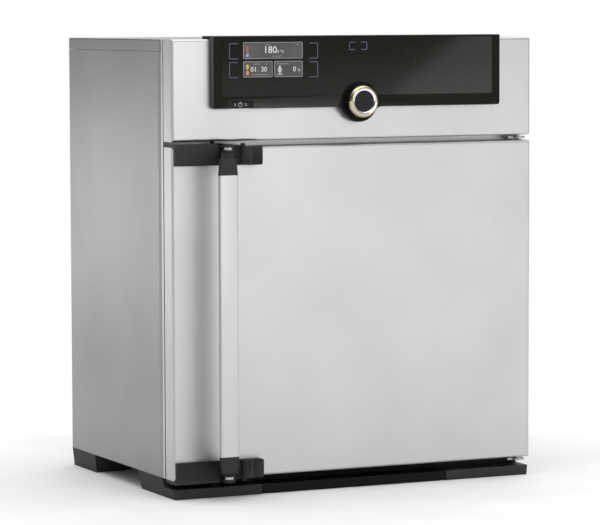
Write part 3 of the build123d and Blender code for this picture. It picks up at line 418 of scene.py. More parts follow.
# Polypropylene, moulded: black, waxy, with a wide soft gloss
FOOT_PLASTIC = Finish(
    "moulded_polypropylene", "121213", "161617", (0.42, 0.55), (1.1, 1.1, 1.1), 0.05, gloss=0.1, worn=0.04
)
# The same plastic from a smoother tool: a little glossier, on the cover between the feet
COVER_PLASTIC = Finish(
    "moulded_cover_plastic", "101012", "141416", (0.36, 0.46), (1.4, 1.4, 1.4), 0.03, gloss=0.1
)
# Printed hardened glass: black with a mirror-like surface
PANEL_GLASS = Finish(
    "back_printed_glass", "14140F", "171712", (0.05, 0.08), (6.0, 6.0, 6.0), 0.0, gloss=0.3
)
# Black lacquer, sprayed: deep and glossy, on the knob's face and on the key
BLACK_GLOSS = Finish(
    "black_lacquer", "0E0E0E", "121212", (0.16, 0.24), (2.0, 2.0, 2.0), 0.004, gloss=0.25
)
# Silicone, extruded: brick red, soft and dull
SILICONE = Finish(
    "extruded_silicone", "9A5A48", "8C4F3F", (0.6, 0.75), (1.5, 1.5, 1.5), 0.08, gloss=0.3, sheen=0.2
)
# Natural rubber: black and dull
RUBBER = Finish(
    "moulded_rubber", "262626", "303030", (0.65, 0.8), (1.4, 1.4, 1.4), 0.1, gloss=0.3, sheen=0.15
)
# Mineral wool board: pale yellow fibres that lie flat in the board, drawn as thick tufts
MINERAL_WOOL = Finish(
    "mineral_wool",
    "C9B98A",
    "A8966A",
    (0.85, 0.98),
    (6.0, 1.2, 1.2),
    0.5,
    cloud=(25.0, 25.0, 25.0),
    sheen=0.4,
)
# Aluminium foil over a heating mat: bright, with small creases
HEATER_FOIL = Finish(
    "creased_foil", "D2D0CC", "BDBBB6", (0.18, 0.34), (7.0, 7.0, 7.0), 0.25, metallic=1.0
)
# Glass-fibre board, lacquered: green under a clear gloss
CIRCUIT_BOARD = Finish(
    "lacquered_board", "1E5C38", "246B42", (0.25, 0.35), (0.9, 0.9, 0.9), 0.03, gloss=0.5, coat=0.2
)
# Epoxy, moulded round small parts: black and dull
COMPONENT = Finish(
    "moulded_component", "1F1F20", "272728", (0.45, 0.6), (0.9, 0.9, 0.9), 0.04, gloss=0.4
)
# Brass, stamped: yellow and bright
BRASS = Finish(
    "stamped_brass", "C8A75A", "B8964C", (0.2, 0.3), (0.8, 5.0, 0.8), 0.01, metallic=1.0
)
# Matt white paper: a floor without gloss that keeps the soft shadows
FLOOR_PAPER = Finish("floor_paper", "F8F8F8", "F2F2F2", (0.8, 0.9), (3.0, 3.0, 3.0), 0.0, gloss=0.1)

# Fields and signs of the screen: an even light of their own behind a smooth surface
WINDOW_GREY = Lit("window_grey", "3C3C3D", "4C4C4D")
WINDOW_EDGE = Lit("window_edge", "7E7E80", "8E8E90")
DIGIT_WHITE = Lit("digit_white", "E8E8EA", "DADADD")
SMALL_GREY = Lit("small_grey", "8A8A8C", "7C7C7E")
# Marks on the glass and on the key, lit from behind: flat and a little dim
TOUCH_VIOLET = Lit("touch_violet", "56526E", "4C4963")
MARK_WHITE = Lit("mark_white", "A9A9A6", "9B9B98")
# Coloured signs of the screen: clear and flat
SIGN_RED = Lit("sign_red", "C9504F", "B84846")
SIGN_BLUE = Lit("sign_blue", "8FB4E8", "7CA3DC")
SIGN_AMBER = Lit("sign_amber", "E0B040", "D49A30")
SIGN_ORANGE = Lit("sign_orange", "D98A2E", "CC7A26")

# The finish of every part of the frame
NODE_FINISHES: Dict[Finish, Sequence[str]] = {
    TEXTURED_STEEL: ("header_fascia", "door_skin", "front_frame"),
    # The casing wears a darker copy of the front's sheet: painted shade
    CASING_STEEL: ("outer_casing", "top_cover", "rear_panel"),
    BRUSHED_STEEL: ("door_inner_panel",),
    PRESSED_STEEL: ("chamber_liner", "temperature_sensor", "exhaust_duct", "air_flap"),
    POLISHED_STEEL: ("shelf_lower", "shelf_upper"),
    ZINC_STEEL: (
        "base_plate",
        "electronics_deck",
        "power_supply",
        "header_brackets",
        "door_hinge_block_upper",
        "door_hinge_block_lower",
        "hinge_leaf_upper",
        "hinge_leaf_lower",
        "rear_panel_screws",
    ),
    HANDLE_METAL: ("handle_bar",),
    PIN_STEEL: ("hinge_pin_upper", "hinge_pin_lower", "pivot_pins", "knob_shaft"),
    KNOB_METAL: ("knob_ring",),
    BLACK_MOULDING: (
        "latch_bracket_upper",
        "latch_bracket_lower",
        "lever_upper",
        "lever_lower",
        "latch_fingers",
        "catch_stud_upper",
        "catch_stud_lower",
    ),
    PANEL_MOULDING: ("control_bezel", "knob_core"),
    FOOT_PLASTIC: ("foot_front_left", "foot_front_right", "foot_rear_left", "foot_rear_right"),
    COVER_PLASTIC: ("foot_cover",),
    PANEL_GLASS: ("control_glass", "display_module"),
    BLACK_GLOSS: ("knob_face", "power_button"),
    SILICONE: ("door_seal",),
    RUBBER: ("rear_spacers",),
    MINERAL_WOOL: ("chamber_insulation", "door_insulation"),
    HEATER_FOIL: ("side_heaters", "floor_and_roof_heaters"),
    CIRCUIT_BOARD: ("control_board",),
    COMPONENT: ("mains_inlet", "flap_motor", "switch_body", "encoder_body", "board_posts"),
    BRASS: ("inlet_pins",),
}


@dataclass
class Wardrobe:
    """Keeps one built material for each finish."""

    made: Dict[str, bpy.types.Material] = field(default_factory=dict)

    def get(self, finish: Look) -> bpy.types.Material:
        """Return the material of a finish, building it the first time.

        Args:
            finish: The finish.

        Returns:
            Its only material.
        """
        if finish.name not in self.made:
            self.made[finish.name] = finish.build()
        return self.made[finish.name]

    def dress_frame(self) -> None:
        """Give each node of the frame the material of its finish."""
        for finish, names in NODE_FINISHES.items():
            for name in names:
                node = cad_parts[name]
                if not node.data.materials:
                    node.data.materials.append(self.get(finish))
                for place in node.material_slots:
                    place.material = self.get(finish)
                LOG.info("frame node %s wears %s", name, finish.name)


WARDROBE = Wardrobe()


# Mesh helpers


def add_object(name: str, data: bpy.types.ID) -> bpy.types.Object:
    """Make an object of its data and put it in the scene.

    Args:
        name: The object's name.
        data: Its mesh, curve, camera or lamp.

    Returns:
        The new object.
    """
    made = bpy.data.objects.new(name, data)
    bpy.context.scene.collection.objects.link(made)
    return made


def low(node: str) -> Vector:
    """Return a node's lowest corner in millimetres."""
    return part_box(node)[0] / MM


def high(node: str) -> Vector:
    """Return a node's highest corner in millimetres."""
    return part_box(node)[1] / MM


def finish_piece(
    mesh: Mesh,
    name: str,
    finish: Look,
    body: Body,
    stands_for: Sequence[str] = (),
    smooth: float = 35.0,
) -> bpy.types.Object:
    """Turn a mesh in millimetres into a finished piece of the object.

    Args:
        mesh: The mesh, which is freed.
        name: The piece's name.
        finish: The finish that it wears.
        body: The body that it rides on.
        stands_for: Frame nodes that it replaces.
        smooth: The angle in degrees above which an edge stays sharp.

    Returns:
        The new object.
    """
    bmesh.ops.remove_doubles(mesh, verts=mesh.verts, dist=MERGE)
    bmesh.ops.recalc_face_normals(mesh, faces=mesh.faces)
    bmesh.ops.scale(mesh, vec=(MM, MM, MM), verts=mesh.verts)
    data = bpy.data.meshes.new(name)
    mesh.to_mesh(data)
    mesh.free()
    data.polygons.foreach_set("use_smooth", [True] * len(data.polygons))
    data.set_sharp_from_angle(angle=math.radians(smooth))
    data.materials.append(WARDROBE.get(finish))
    piece = add_object(name, data)
    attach(piece, body.value)
    if stands_for:
        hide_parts(*stands_for)
    LOG.info("piece %s rides on %s", name, body.value)
    return piece


def rounded_face(
    mesh: Mesh,
    axis: Axis,
    across: Pair,
    up: Pair,
    depth: float,
    radius: float,
    steps: int = 4,
) -> bmesh.types.BMFace:
    """Add a flat rectangle with rounded corners to an empty mesh.

    Args:
        mesh: The empty mesh that gets the face.
        axis: The direction that the face looks along.
        across: Its limits along the first direction across it.
        up: Its limits along the second one.
        depth: Its place along the axis.
        radius: The corner radius.
        steps: Segments of each corner.

    Returns:
        The face.
    """
    depth_at, across_at, up_at = axis.value
    corners = []
    for a, b in ((0, 0), (1, 0), (1, 1), (0, 1)):
        place = [0.0, 0.0, 0.0]
        place[depth_at] = depth
        place[across_at] = across[a]
        place[up_at] = up[b]
        corners.append(mesh.verts.new(place))
    mesh.faces.new(corners)
    if radius > 0:
        bmesh.ops.bevel(
            mesh, geom=corners, offset=radius, affect="VERTICES", segments=steps, profile=0.5, material=-1
        )
    return max(mesh.faces, key=lambda f: f.calc_area())


def thicken(mesh: Mesh, faces: Sequence[bmesh.types.BMFace], step: Point) -> None:
    """Pull flat faces into a solid.

    Args:
        mesh: The mesh.
        faces: The faces that stay as the near side.
        step: How far the far side moves.
    """
    made = bmesh.ops.extrude_face_region(mesh, geom=list(faces), use_keep_orig=True)
    moved = [v for v in made["geom"] if isinstance(v, bmesh.types.BMVert)]
    bmesh.ops.translate(mesh, vec=step, verts=moved)


def plate(
    mesh: Mesh,
    axis: Axis,
    across: Pair,
    up: Pair,
    depth: Pair,
    radius: float = 0.0,
    border: float = 0.0,
) -> None:
    """Add a solid plate with rounded corners, or only its border.

    Args:
        mesh: The mesh that gets the plate.
        axis: The direction that the plate looks along.
        across: Its limits along the first direction across it.
        up: Its limits along the second one.
        depth: Its limits along the axis.
        radius: The corner radius.
        border: The width of the border that stays, or zero for a full plate.
    """
    part = bmesh.new()
    face = rounded_face(part, axis, across, up, depth[0], radius)
    if border:
        ring = bmesh.ops.inset_region(
            part, faces=[face], thickness=border, use_boundary=True, use_even_offset=True
        )
        bmesh.ops.delete(part, geom=[f for f in part.faces if f not in ring["faces"]], context="FACES_ONLY")
        kept = list(part.faces)
    else:
        kept = [face]
    step = [0.0, 0.0, 0.0]
    step[axis.value[0]] = depth[1] - depth[0]
    thicken(part, kept, tuple(step))
    join(mesh, part)


def join(mesh: Mesh, part: Mesh) -> None:
    """Copy one mesh into another and free it.

    Args:
        mesh: The mesh that gets the copy.
        part: The mesh that is freed.
    """
    bmesh.ops.recalc_face_normals(part, faces=part.faces)
    data = bpy.data.meshes.new("part")
    part.to_mesh(data)
    part.free()
    mesh.from_mesh(data)
    bpy.data.meshes.remove(data)


def loft(
    mesh: Mesh,
    axis: Axis,
    near: Tuple[Pair, Pair, float],
    far: Tuple[Pair, Pair, float],
    radius: float,
) -> None:
    """Add a closed solid between two rounded rectangles.

    Args:
        mesh: The mesh that gets the solid.
        axis: The direction that both rectangles look along.
        near: The limits across and up of the first one, and its place along the axis.
        far: The same for the second one.
        radius: Their corner radius.
    """
    part = bmesh.new()
    for across, up, depth in (near, far):
        side = bmesh.new()
        rounded_face(side, axis, across, up, depth, radius)
        join(part, side)
    bmesh.ops.bridge_loops(part, edges=part.edges[:])
    join(mesh, part)


def half_of(part: Mesh, point: Point, normal: Point) -> None:
    """Cut a closed mesh by a plane, drop what lies beyond it and close the cut.

    Args:
        part: The mesh.
        point: A point on the plane.
        normal: The direction of the half that goes.
    """
    made = bmesh.ops.bisect_plane(
        part,
        geom=part.verts[:] + part.edges[:] + part.faces[:],
        plane_co=point,
        plane_no=normal,
        clear_outer=True,
        dist=CUT_TOLERANCE,
    )
    rim = [e for e in made["geom_cut"] if isinstance(e, bmesh.types.BMEdge)]
    bmesh.ops.holes_fill(part, edges=rim, sides=0)


def turned(profile: Sequence[Pair], centre: Point, steps: int = 96) -> Mesh:
    """Turn a profile round a line that runs from front to rear.

    Args:
        profile: Pairs of a place along Y and a radius, as one open or closed line.
        centre: A point on the line.
        steps: Segments of the full turn.

    Returns:
        The turned mesh.
    """
    part = bmesh.new()
    points = [part.verts.new((centre[0], y, centre[2] + r)) for y, r in profile]
    edges = [part.edges.new(pair) for pair in zip(points, points[1:])]
    bmesh.ops.spin(
        part,
        geom=points + edges,
        cent=centre,
        axis=(0, 1, 0),
        angle=2 * math.pi,
        steps=steps,
        use_merge=True,
        use_duplicate=False,
    )
    bmesh.ops.remove_doubles(part, verts=part.verts, dist=TURNED_MERGE)
    return part


def lettering(text: str, height: float, place: Point, thickness: float) -> Mesh:
    """Make upright characters as a mesh that looks to the front.

    Args:
        text: The characters.
        height: The height of a digit in millimetres.
        place: The lower left corner of the first one.
        thickness: How thick the characters are.

    Returns:
        The mesh.
    """
    curve = bpy.data.curves.new("lettering", "FONT")
    curve.body = text
    curve.size = height * LETTER_SIZE
    curve.extrude = thickness / 2
    curve.resolution_u = LETTER_STEPS
    holder = add_object("lettering", curve)
    bpy.context.view_layer.update()
    data = bpy.data.meshes.new_from_object(holder.evaluated_get(bpy.context.evaluated_depsgraph_get()))
    part = bmesh.new()
    part.from_mesh(data)
    bpy.data.objects.remove(holder)
    bpy.data.curves.remove(curve)
    bpy.data.meshes.remove(data)
    upright = Matrix.Rotation(math.pi / 2, 3, "X")
    bmesh.ops.rotate(part, cent=(0, 0, 0), matrix=upright, verts=part.verts)
    bmesh.ops.translate(part, vec=place, verts=part.verts)
    bmesh.ops.remove_doubles(part, verts=part.verts, dist=MERGE)
    return part


# Sub-assemblies


class Maker(Protocol):
    """A sub-assembly that builds its own pieces."""

    def build(self) -> None:
        """Build the pieces."""


@dataclass(frozen=True)
class Word:
    """Characters of a height, placed to the right of the windows' edge and below the panel's top."""

    text: str
    height: float
    right: float
    drop: float


@dataclass(frozen=True)
class Patch:
    """One plate of a sign, with limits from the panel's left edge and below its top edge."""

    across: Pair
    down: Pair
    level: int
    corner: float
    border: float = 0.0


@dataclass(frozen=True)
class Sign:
    """A sign in one colour on the display, made of a few patches."""

    name: str
    finish: Lit
    patches: Tuple[Patch, ...]


@dataclass
class Screen:
    """The three windows of the display with their digits and signs, on the glass.

    Places are distances from the panel's left edge and below its top edge. A stroke is a pair of ends, from
    the windows' left edge, and a drop.
    """

    left: float = 47.4
    right: float = 141.6
    split: Pair = (93.5, 96.2)
    top: float = 9.2
    upper_height: float = 23.9
    lower_top: float = 36.5
    lower_height: float = 23.1
    corner: float = 1.6
    border: float = 0.9
    film: float = 0.12
    words: Tuple[Word, ...] = (
        Word("180", 10.4, 32.0, 24.9),
        Word(".0 °C", 4.2, 52.6, 24.9),
        Word("01", 7.4, 11.4, 51.6),
        Word(":", 5.0, 22.3, 51.6),
        Word("30", 7.4, 27.6, 51.6),
        Word("0", 7.4, 78.6, 51.6),
        Word("%", 4.0, 86.4, 51.6),
    )
    strokes: Tuple[Tuple[Pair, float], ...] = (
        ((34.0, 43.0), 13.0),
        ((83.0, 88.0), 13.0),
        ((46.0, 62.0), 29.4),
        ((16.0, 26.0), 40.6),
        ((34.0, 38.0), 40.6),
        ((13.0, 41.0), 55.8),
        ((53.0, 72.0), 40.6),
        ((53.0, 61.0), 55.8),
    )
    stroke_half: float = 0.5
    stroke_corner: float = 0.3
    signs: Tuple[Sign, ...] = (
        Sign("sign_thermometer_tube", SIGN_RED, (Patch((52.6, 55.4), (27.4, 13.8), 2, 1.3),)),
        Sign("sign_thermometer_bulb", SIGN_BLUE, (Patch((51.7, 56.3), (30.2, 25.8), 3, 2.1),)),
        Sign("sign_sand_upper", SIGN_AMBER, (Patch((51.8, 56.2), (47.4, 41.2), 2, 1.8),)),
        Sign(
            "sign_sand_lower",
            SIGN_ORANGE,
            (
                Patch((51.8, 56.2), (56.6, 50.4), 2, 1.8),
                Patch((53.4, 54.6), (50.4, 47.4), 2, 0.3),
            ),
        ),
        Sign(
            "sign_air_flap",
            DIGIT_WHITE,
            (
                Patch((102.6, 107.8), (52.6, 45.4), 2, 2.5, 0.9),
                Patch((104.6, 105.8), (55.2, 42.8), 3, 0.3),
                Patch((101.2, 109.2), (56.0, 55.0), 2, 0.3),
            ),
        ),
    )
    glass_y: float = field(init=False)
    bezel_x: float = field(init=False)
    bezel_z: float = field(init=False)

    def build(self) -> None:
        """Build the windows and what they show."""
        self.glass_y = low("control_glass").y
        self.bezel_x = low("control_bezel").x
        self.bezel_z = high("control_bezel").z
        self.build_windows()
        self.build_digits()
        self.build_signs()

    def across(self, left: float, right: float) -> Pair:
        """Return X limits from distances to the panel's left edge."""
        return (self.bezel_x + left, self.bezel_x + right)

    def down(self, bottom: float, top: float) -> Pair:
        """Return Z limits from distances below the panel's top edge."""
        return (self.bezel_z - bottom, self.bezel_z - top)

    def layer(self, level: int) -> Pair:
        """Return Y limits of one printed layer on the glass."""
        return (self.glass_y - level * self.film, self.glass_y - (level - 1) * self.film)

    def windows(self) -> List[Tuple[Pair, Pair]]:
        """Work out the limits of the three windows.

        Returns:
            For each window its X and its Z limits.
        """
        upper = self.down(self.top + self.upper_height, self.top)
        lower = self.down(self.lower_top + self.lower_height, self.lower_top)
        return [
            (self.across(self.left, self.right), upper),
            (self.across(self.left, self.split[0]), lower),
            (self.across(self.split[1], self.right), lower),
        ]

    def build_windows(self) -> None:
        """Build the grey fields and their pale borders."""
        fields = bmesh.new()
        borders = bmesh.new()
        for across, up in self.windows():
            plate(fields, Axis.Y, across, up, self.layer(1), self.corner)
            plate(borders, Axis.Y, across, up, self.layer(2), self.corner, self.border)
        finish_piece(fields, "display_windows", WINDOW_GREY, Body.HOUSING)
        finish_piece(borders, "display_window_borders", WINDOW_EDGE, Body.HOUSING)

    def build_digits(self) -> None:
        """Build the digits and the short strokes beside them."""
        digits = bmesh.new()
        for word in self.words:
            place = (
                self.bezel_x + self.left + word.right,
                self.layer(2)[1],
                self.bezel_z - word.drop,
            )
            join(digits, lettering(word.text, word.height, place, self.film))
        finish_piece(digits, "display_digits", DIGIT_WHITE, Body.HOUSING)
        strokes = bmesh.new()
        for (start, end), drop in self.strokes:
            across = self.across(self.left + start, self.left + end)
            up = self.down(drop + self.stroke_half, drop - self.stroke_half)
            plate(strokes, Axis.Y, across, up, self.layer(2), self.stroke_corner)
        finish_piece(strokes, "display_small_strokes", SMALL_GREY, Body.HOUSING)

    def build_signs(self) -> None:
        """Build the thermometer, the sand glass and the air flap sign."""
        for sign in self.signs:
            mesh = bmesh.new()
            for patch in sign.patches:
                across = self.across(*patch.across)
                up = self.down(*patch.down)
                plate(mesh, Axis.Y, across, up, self.layer(patch.level), patch.corner, patch.border)
            finish_piece(mesh, sign.name, sign.finish, Body.HOUSING)


@dataclass
class TouchMarks:
    """The violet brackets beside the display and round the menu field.

    A column is the distance of its upright lines from the panel's left edge, and the side that the arms
    point to. A row is the lower and upper end of a bracket, below the panel's top edge.
    """

    film: float = 0.12
    line: float = 1.2
    arm: float = 14.0
    corner: float = 2.4
    columns: Tuple[Tuple[float, int], ...] = ((25.2, 1), (166.3, -1))
    rows: Tuple[Pair, ...] = ((33.5, 10.5), (60.5, 37.5))
    menu: Tuple[Pair, Pair] = ((216.5, 246.1), (21.6, 9.6))
    menu_gap: Pair = (226.5, 236.1)
    depth: Pair = field(init=False)
    origin: Pair = field(init=False)

    def build(self) -> None:
        """Build the brackets as one printed piece."""
        glass_y = low("control_glass").y
        self.depth = (glass_y - self.film, glass_y)
        self.origin = (low("control_bezel").x, high("control_bezel").z)
        marks = bmesh.new()
        for outer, side in self.columns:
            for row in self.rows:
                self.bracket(marks, outer, side, row, self.arm)
        across, up = self.menu
        self.bracket(marks, across[0], 1, up, self.menu_gap[0] - across[0])
        self.bracket(marks, across[1], -1, up, across[1] - self.menu_gap[1])
        finish_piece(marks, "touch_brackets", TOUCH_VIOLET, Body.HOUSING)

    def bracket(self, mesh: Mesh, outer: float, side: int, row: Pair, arm: float) -> None:
        """Add one bracket, which is one half of a closed border.

        Args:
            mesh: The mesh that gets it.
            outer: The distance of its upright line from the panel's left edge.
            side: 1 where the arms point to the right, and -1 to the left.
            row: Its lower and upper ends, below the panel's top edge.
            arm: The length of its arms.
        """
        part = bmesh.new()
        x = self.origin[0] + outer
        start, end = sorted((x, x + 2 * side * arm))
        up = (self.origin[1] - row[0], self.origin[1] - row[1])
        plate(part, Axis.Y, (start, end), up, self.depth, self.corner, self.line)
        half_of(part, (x + side * arm, 0, 0), (side, 0, 0))
        join(mesh, part)


@dataclass
class PowerMark:
    """The round sign on the main switch's key, with two dashes at each side.

    The shift is the sign's distance from the key's middle, to the left.
    """

    radius: float = 3.4
    line: float = 0.7
    film: float = 0.12
    shift: float = 2.0
    bar_start: float = 0.4
    bar_rise: float = 0.9
    dash_offset: float = 8.4
    dash_gap: float = 1.1
    dash_half: Pair = (1.6, 0.4)
    corner: float = 0.2
    steps: int = 36

    def build(self) -> None:
        """Build the ring, the bar in it and the dashes."""
        near, far = low("power_button"), high("power_button")
        middle = (near.x + far.x) / 2 - self.shift
        level = (near.z + far.z) / 2
        front = near.y - self.film
        inner = self.radius - self.line
        profile = [
            (front, inner),
            (front, self.radius),
            (front + self.film, self.radius),
            (front + self.film, inner),
            (front, inner),
        ]
        mark = bmesh.new()
        join(mark, turned(profile, (middle, front, level), self.steps))
        across = (middle - self.line / 2, middle + self.line / 2)
        up = (level + self.bar_start, level + self.radius + self.bar_rise)
        plate(mark, Axis.Y, across, up, (front - self.film, front), self.corner)
        width, height = self.dash_half
        for side in (-1, 1):
            x = middle + side * self.dash_offset
            for rise in (-self.dash_gap, self.dash_gap):
                z = level + rise
                across = (x - width, x + width)
                up = (z - height, z + height)
                plate(mark, Axis.Y, across, up, (front, near.y), self.corner)
        finish_piece(mark, "power_mark", MARK_WHITE, Body.KEY)


def edge_points(front: float, radius: float, steps: Sequence[Pair]) -> List[Pair]:
    """Return profile points from their depths behind a front and their steps inside a radius."""
    return [(front + depth, radius - step) for depth, step in steps]


@dataclass
class Knob:
    """The turned ring of the knob, the bright bevel in it and the black face with its rounded edge.

    Each list of pairs holds a depth behind the front and a step inside the radius that it belongs to: the
    shoulder's is the outer one, the lip's and the cut edge's the crown, and the face edge's the face.
    """

    outer: float = 23.5
    inner: float = 20.04
    face: float = 15.0
    bevel: float = 1.2
    bevel_middle: float = 0.3
    cut_width: float = 3.4
    shoulder: Tuple[Pair, ...] = ((4.2, 0.0), (3.4, 0.3), (1.2, 1.9), (0.35, 2.9), (0.0, 3.9))
    lip: Tuple[Pair, ...] = ((0.0, -0.5), (0.2, -0.1))
    seat_step: float = 0.2
    cut_edge: Tuple[Pair, ...] = ((0.05, 0.0), (0.02, 0.25))
    cut_foot: Pair = (1.2, 0.7)
    face_air: float = 0.05
    face_edge: Tuple[Pair, ...] = ((0.5, 0.0), (0.15, 0.2))
    face_margin: float = 0.5
    face_rings: int = 10
    centre: Point = field(init=False)
    front: float = field(init=False)
    seat: float = field(init=False)
    crown: float = field(init=False)

    def build(self) -> None:
        """Build the ring, the bright bevel and the face."""
        near, far = low("knob_ring"), high("knob_ring")
        self.centre = ((near.x + far.x) / 2, 0.0, (near.z + far.z) / 2)
        self.front = near.y
        self.seat = low("knob_core").y
        self.crown = self.face + self.cut_width
        self.build_ring(far.y)
        self.build_cut()
        self.build_face()

    def build_ring(self, rear: float) -> None:
        """Build the ring.

        Args:
            rear: Where its rear face lies along Y.
        """
        middle = self.bevel * self.bevel_middle
        profile = [
            (rear, self.inner),
            (rear, self.outer - self.bevel),
            (rear - middle, self.outer - middle),
            (rear - self.bevel, self.outer),
            *edge_points(self.front, self.outer, self.shoulder),
            *edge_points(self.front, self.crown, self.lip),
            (self.seat, self.crown - self.seat_step),
            (self.seat, self.inner),
            (rear, self.inner),
        ]
        ring = turned(profile, self.centre)
        finish_piece(ring, "knob_ring_turned", KNOB_METAL, Body.KNOB, ["knob_ring"])

    def build_cut(self) -> None:
        """Build the bright bevel, which falls from the ring's crown to the face."""
        edge = edge_points(self.front, self.crown, self.cut_edge)
        bore = self.face + self.face_air
        profile = [
            *edge,
            (self.front + self.cut_foot[0], self.face + self.cut_foot[1]),
            (self.seat - self.seat_step, bore),
            (self.seat, bore),
            (self.seat, self.crown),
            edge[0],
        ]
        cut = turned(profile, self.centre)
        finish_piece(cut, "knob_bright_bevel", BRIGHT_CUT, Body.KNOB)

    def build_face(self) -> None:
        """Build the black face in a few rings, so that it shades evenly."""
        face_y = low("knob_face").y
        flat = self.face - self.face_margin
        profile = [
            (self.seat, 0.0),
            (self.seat, self.face),
            *edge_points(face_y, self.face, self.face_edge),
            *((face_y, flat * (1 - i / self.face_rings)) for i in range(self.face_rings + 1)),
        ]
        face = turned(profile, self.centre)
        finish_piece(face, "knob_face_domed", BLACK_GLOSS, Body.KNOB, ["knob_face"])


@dataclass
class Handle:
    """The flat bar and the two levers whose caps hold its ends.

    The shift is how far the bar stands to the right of the frame's own. The caps' ends are their widths at
    the bar and at the tip, and the arm's widths those at the hub and at the cap. The hub's limits and the
    arm's drops are below the door's top edge.
    """

    shift: float = 2.2
    width: float = 28.0
    thickness: float = 8.0
    corner: float = 1.8
    cap_height: float = 23.5
    cap_ends: Pair = (29.0, 24.0)
    hub_radius: float = 9.0
    hub_limits: Pair = (19.2, 4.2)
    hub_steps: int = 48
    collar_radius: float = 7.5
    collar_air: float = 0.3
    arm_widths: Pair = (16.0, 22.0)
    arm_drop: Pair = (5.2, 17.0)
    arm_lift: float = 0.6
    arm_overlap: float = 1.0
    middle_x: float = field(init=False)
    depth: Pair = field(init=False)
    door: Pair = field(init=False)
    pivot: Pair = field(init=False)

    def build(self) -> None:
        """Build the bar, both levers and the collars on the pins."""
        near, far = low("handle_bar"), high("handle_bar")
        self.middle_x = (near.x + far.x) / 2 + self.shift
        self.depth = (near.y, near.y + self.thickness)
        self.door = (low("door_skin").z, high("door_skin").z)
        pin_near, pin_far = low("pivot_pins"), high("pivot_pins")
        self.pivot = ((pin_near.x + pin_far.x) / 2, (pin_near.y + pin_far.y) / 2)
        bar = bmesh.new()
        plate(bar, Axis.Z, self.span(self.width), self.depth, (near.z, far.z), self.corner)
        finish_piece(bar, "handle_bar_flat", HANDLE_METAL, Body.HANDLE, ["handle_bar"])
        for name, turned_over in (("lever_upper", False), ("lever_lower", True)):
            lever = self.lever(far.z)
            if turned_over:
                bmesh.ops.scale(lever, vec=(1, 1, -1), verts=lever.verts)
                bmesh.ops.translate(lever, vec=(0, 0, sum(self.door)), verts=lever.verts)
            finish_piece(lever, name + "_moulded", BLACK_MOULDING, Body.HANDLE, [name])
        self.build_collars()

    def build_collars(self) -> None:
        """Build the light collars between each lever's hub and the door's ends."""
        collars = bmesh.new()
        rise = self.hub_limits[1] - self.collar_air
        for z in (self.door[0] + self.collar_air + rise / 2, self.door[1] - self.collar_air - rise / 2):
            join(collars, self.cylinder(self.collar_radius, z, rise))
        finish_piece(collars, "pivot_collars", PIN_STEEL, Body.HANDLE)

    def cylinder(self, radius: float, middle: float, length: float) -> Mesh:
        """Build an upright cylinder on the pivot's line.

        Args:
            radius: Its radius.
            middle: The height of its middle.
            length: Its length.

        Returns:
            The mesh.
        """
        part = bmesh.new()
        bmesh.ops.create_cone(
            part,
            cap_ends=True,
            segments=self.hub_steps,
            radius1=radius,
            radius2=radius,
            depth=length,
            matrix=Matrix.Translation((self.pivot[0], self.pivot[1], middle)),
        )
        return part

    def span(self, width: float) -> Pair:
        """Return X limits of a width round the bar's middle."""
        return (self.middle_x - width / 2, self.middle_x + width / 2)

    def lever(self, bar_end: float) -> Mesh:
        """Build the upper lever from its hub, its arm and its cap.

        Args:
            bar_end: The height of the bar's upper end.

        Returns:
            The mesh of the lever.
        """
        mesh = bmesh.new()
        top = self.door[1]
        cap_top = bar_end + self.cap_height
        loft(
            mesh,
            Axis.Z,
            (self.span(self.cap_ends[0]), self.depth, bar_end),
            (self.span(self.cap_ends[1]), self.depth, cap_top),
            self.corner,
        )
        hub_low, hub_high = (top - drop for drop in self.hub_limits)
        join(mesh, self.cylinder(self.hub_radius, (hub_low + hub_high) / 2, hub_high - hub_low))
        hub_half = self.arm_widths[0] / 2
        at_hub = (
            (self.pivot[0] - hub_half, self.pivot[0] + hub_half),
            (hub_low + self.arm_lift, top - self.arm_drop[0]),
            self.pivot[1],
        )
        at_cap = (
            self.span(self.arm_widths[1]),
            (bar_end + self.arm_overlap, top - self.arm_drop[1]),
            self.depth[1] - self.arm_overlap,
        )
        loft(mesh, Axis.Y, at_hub, at_cap, self.corner)
        return mesh


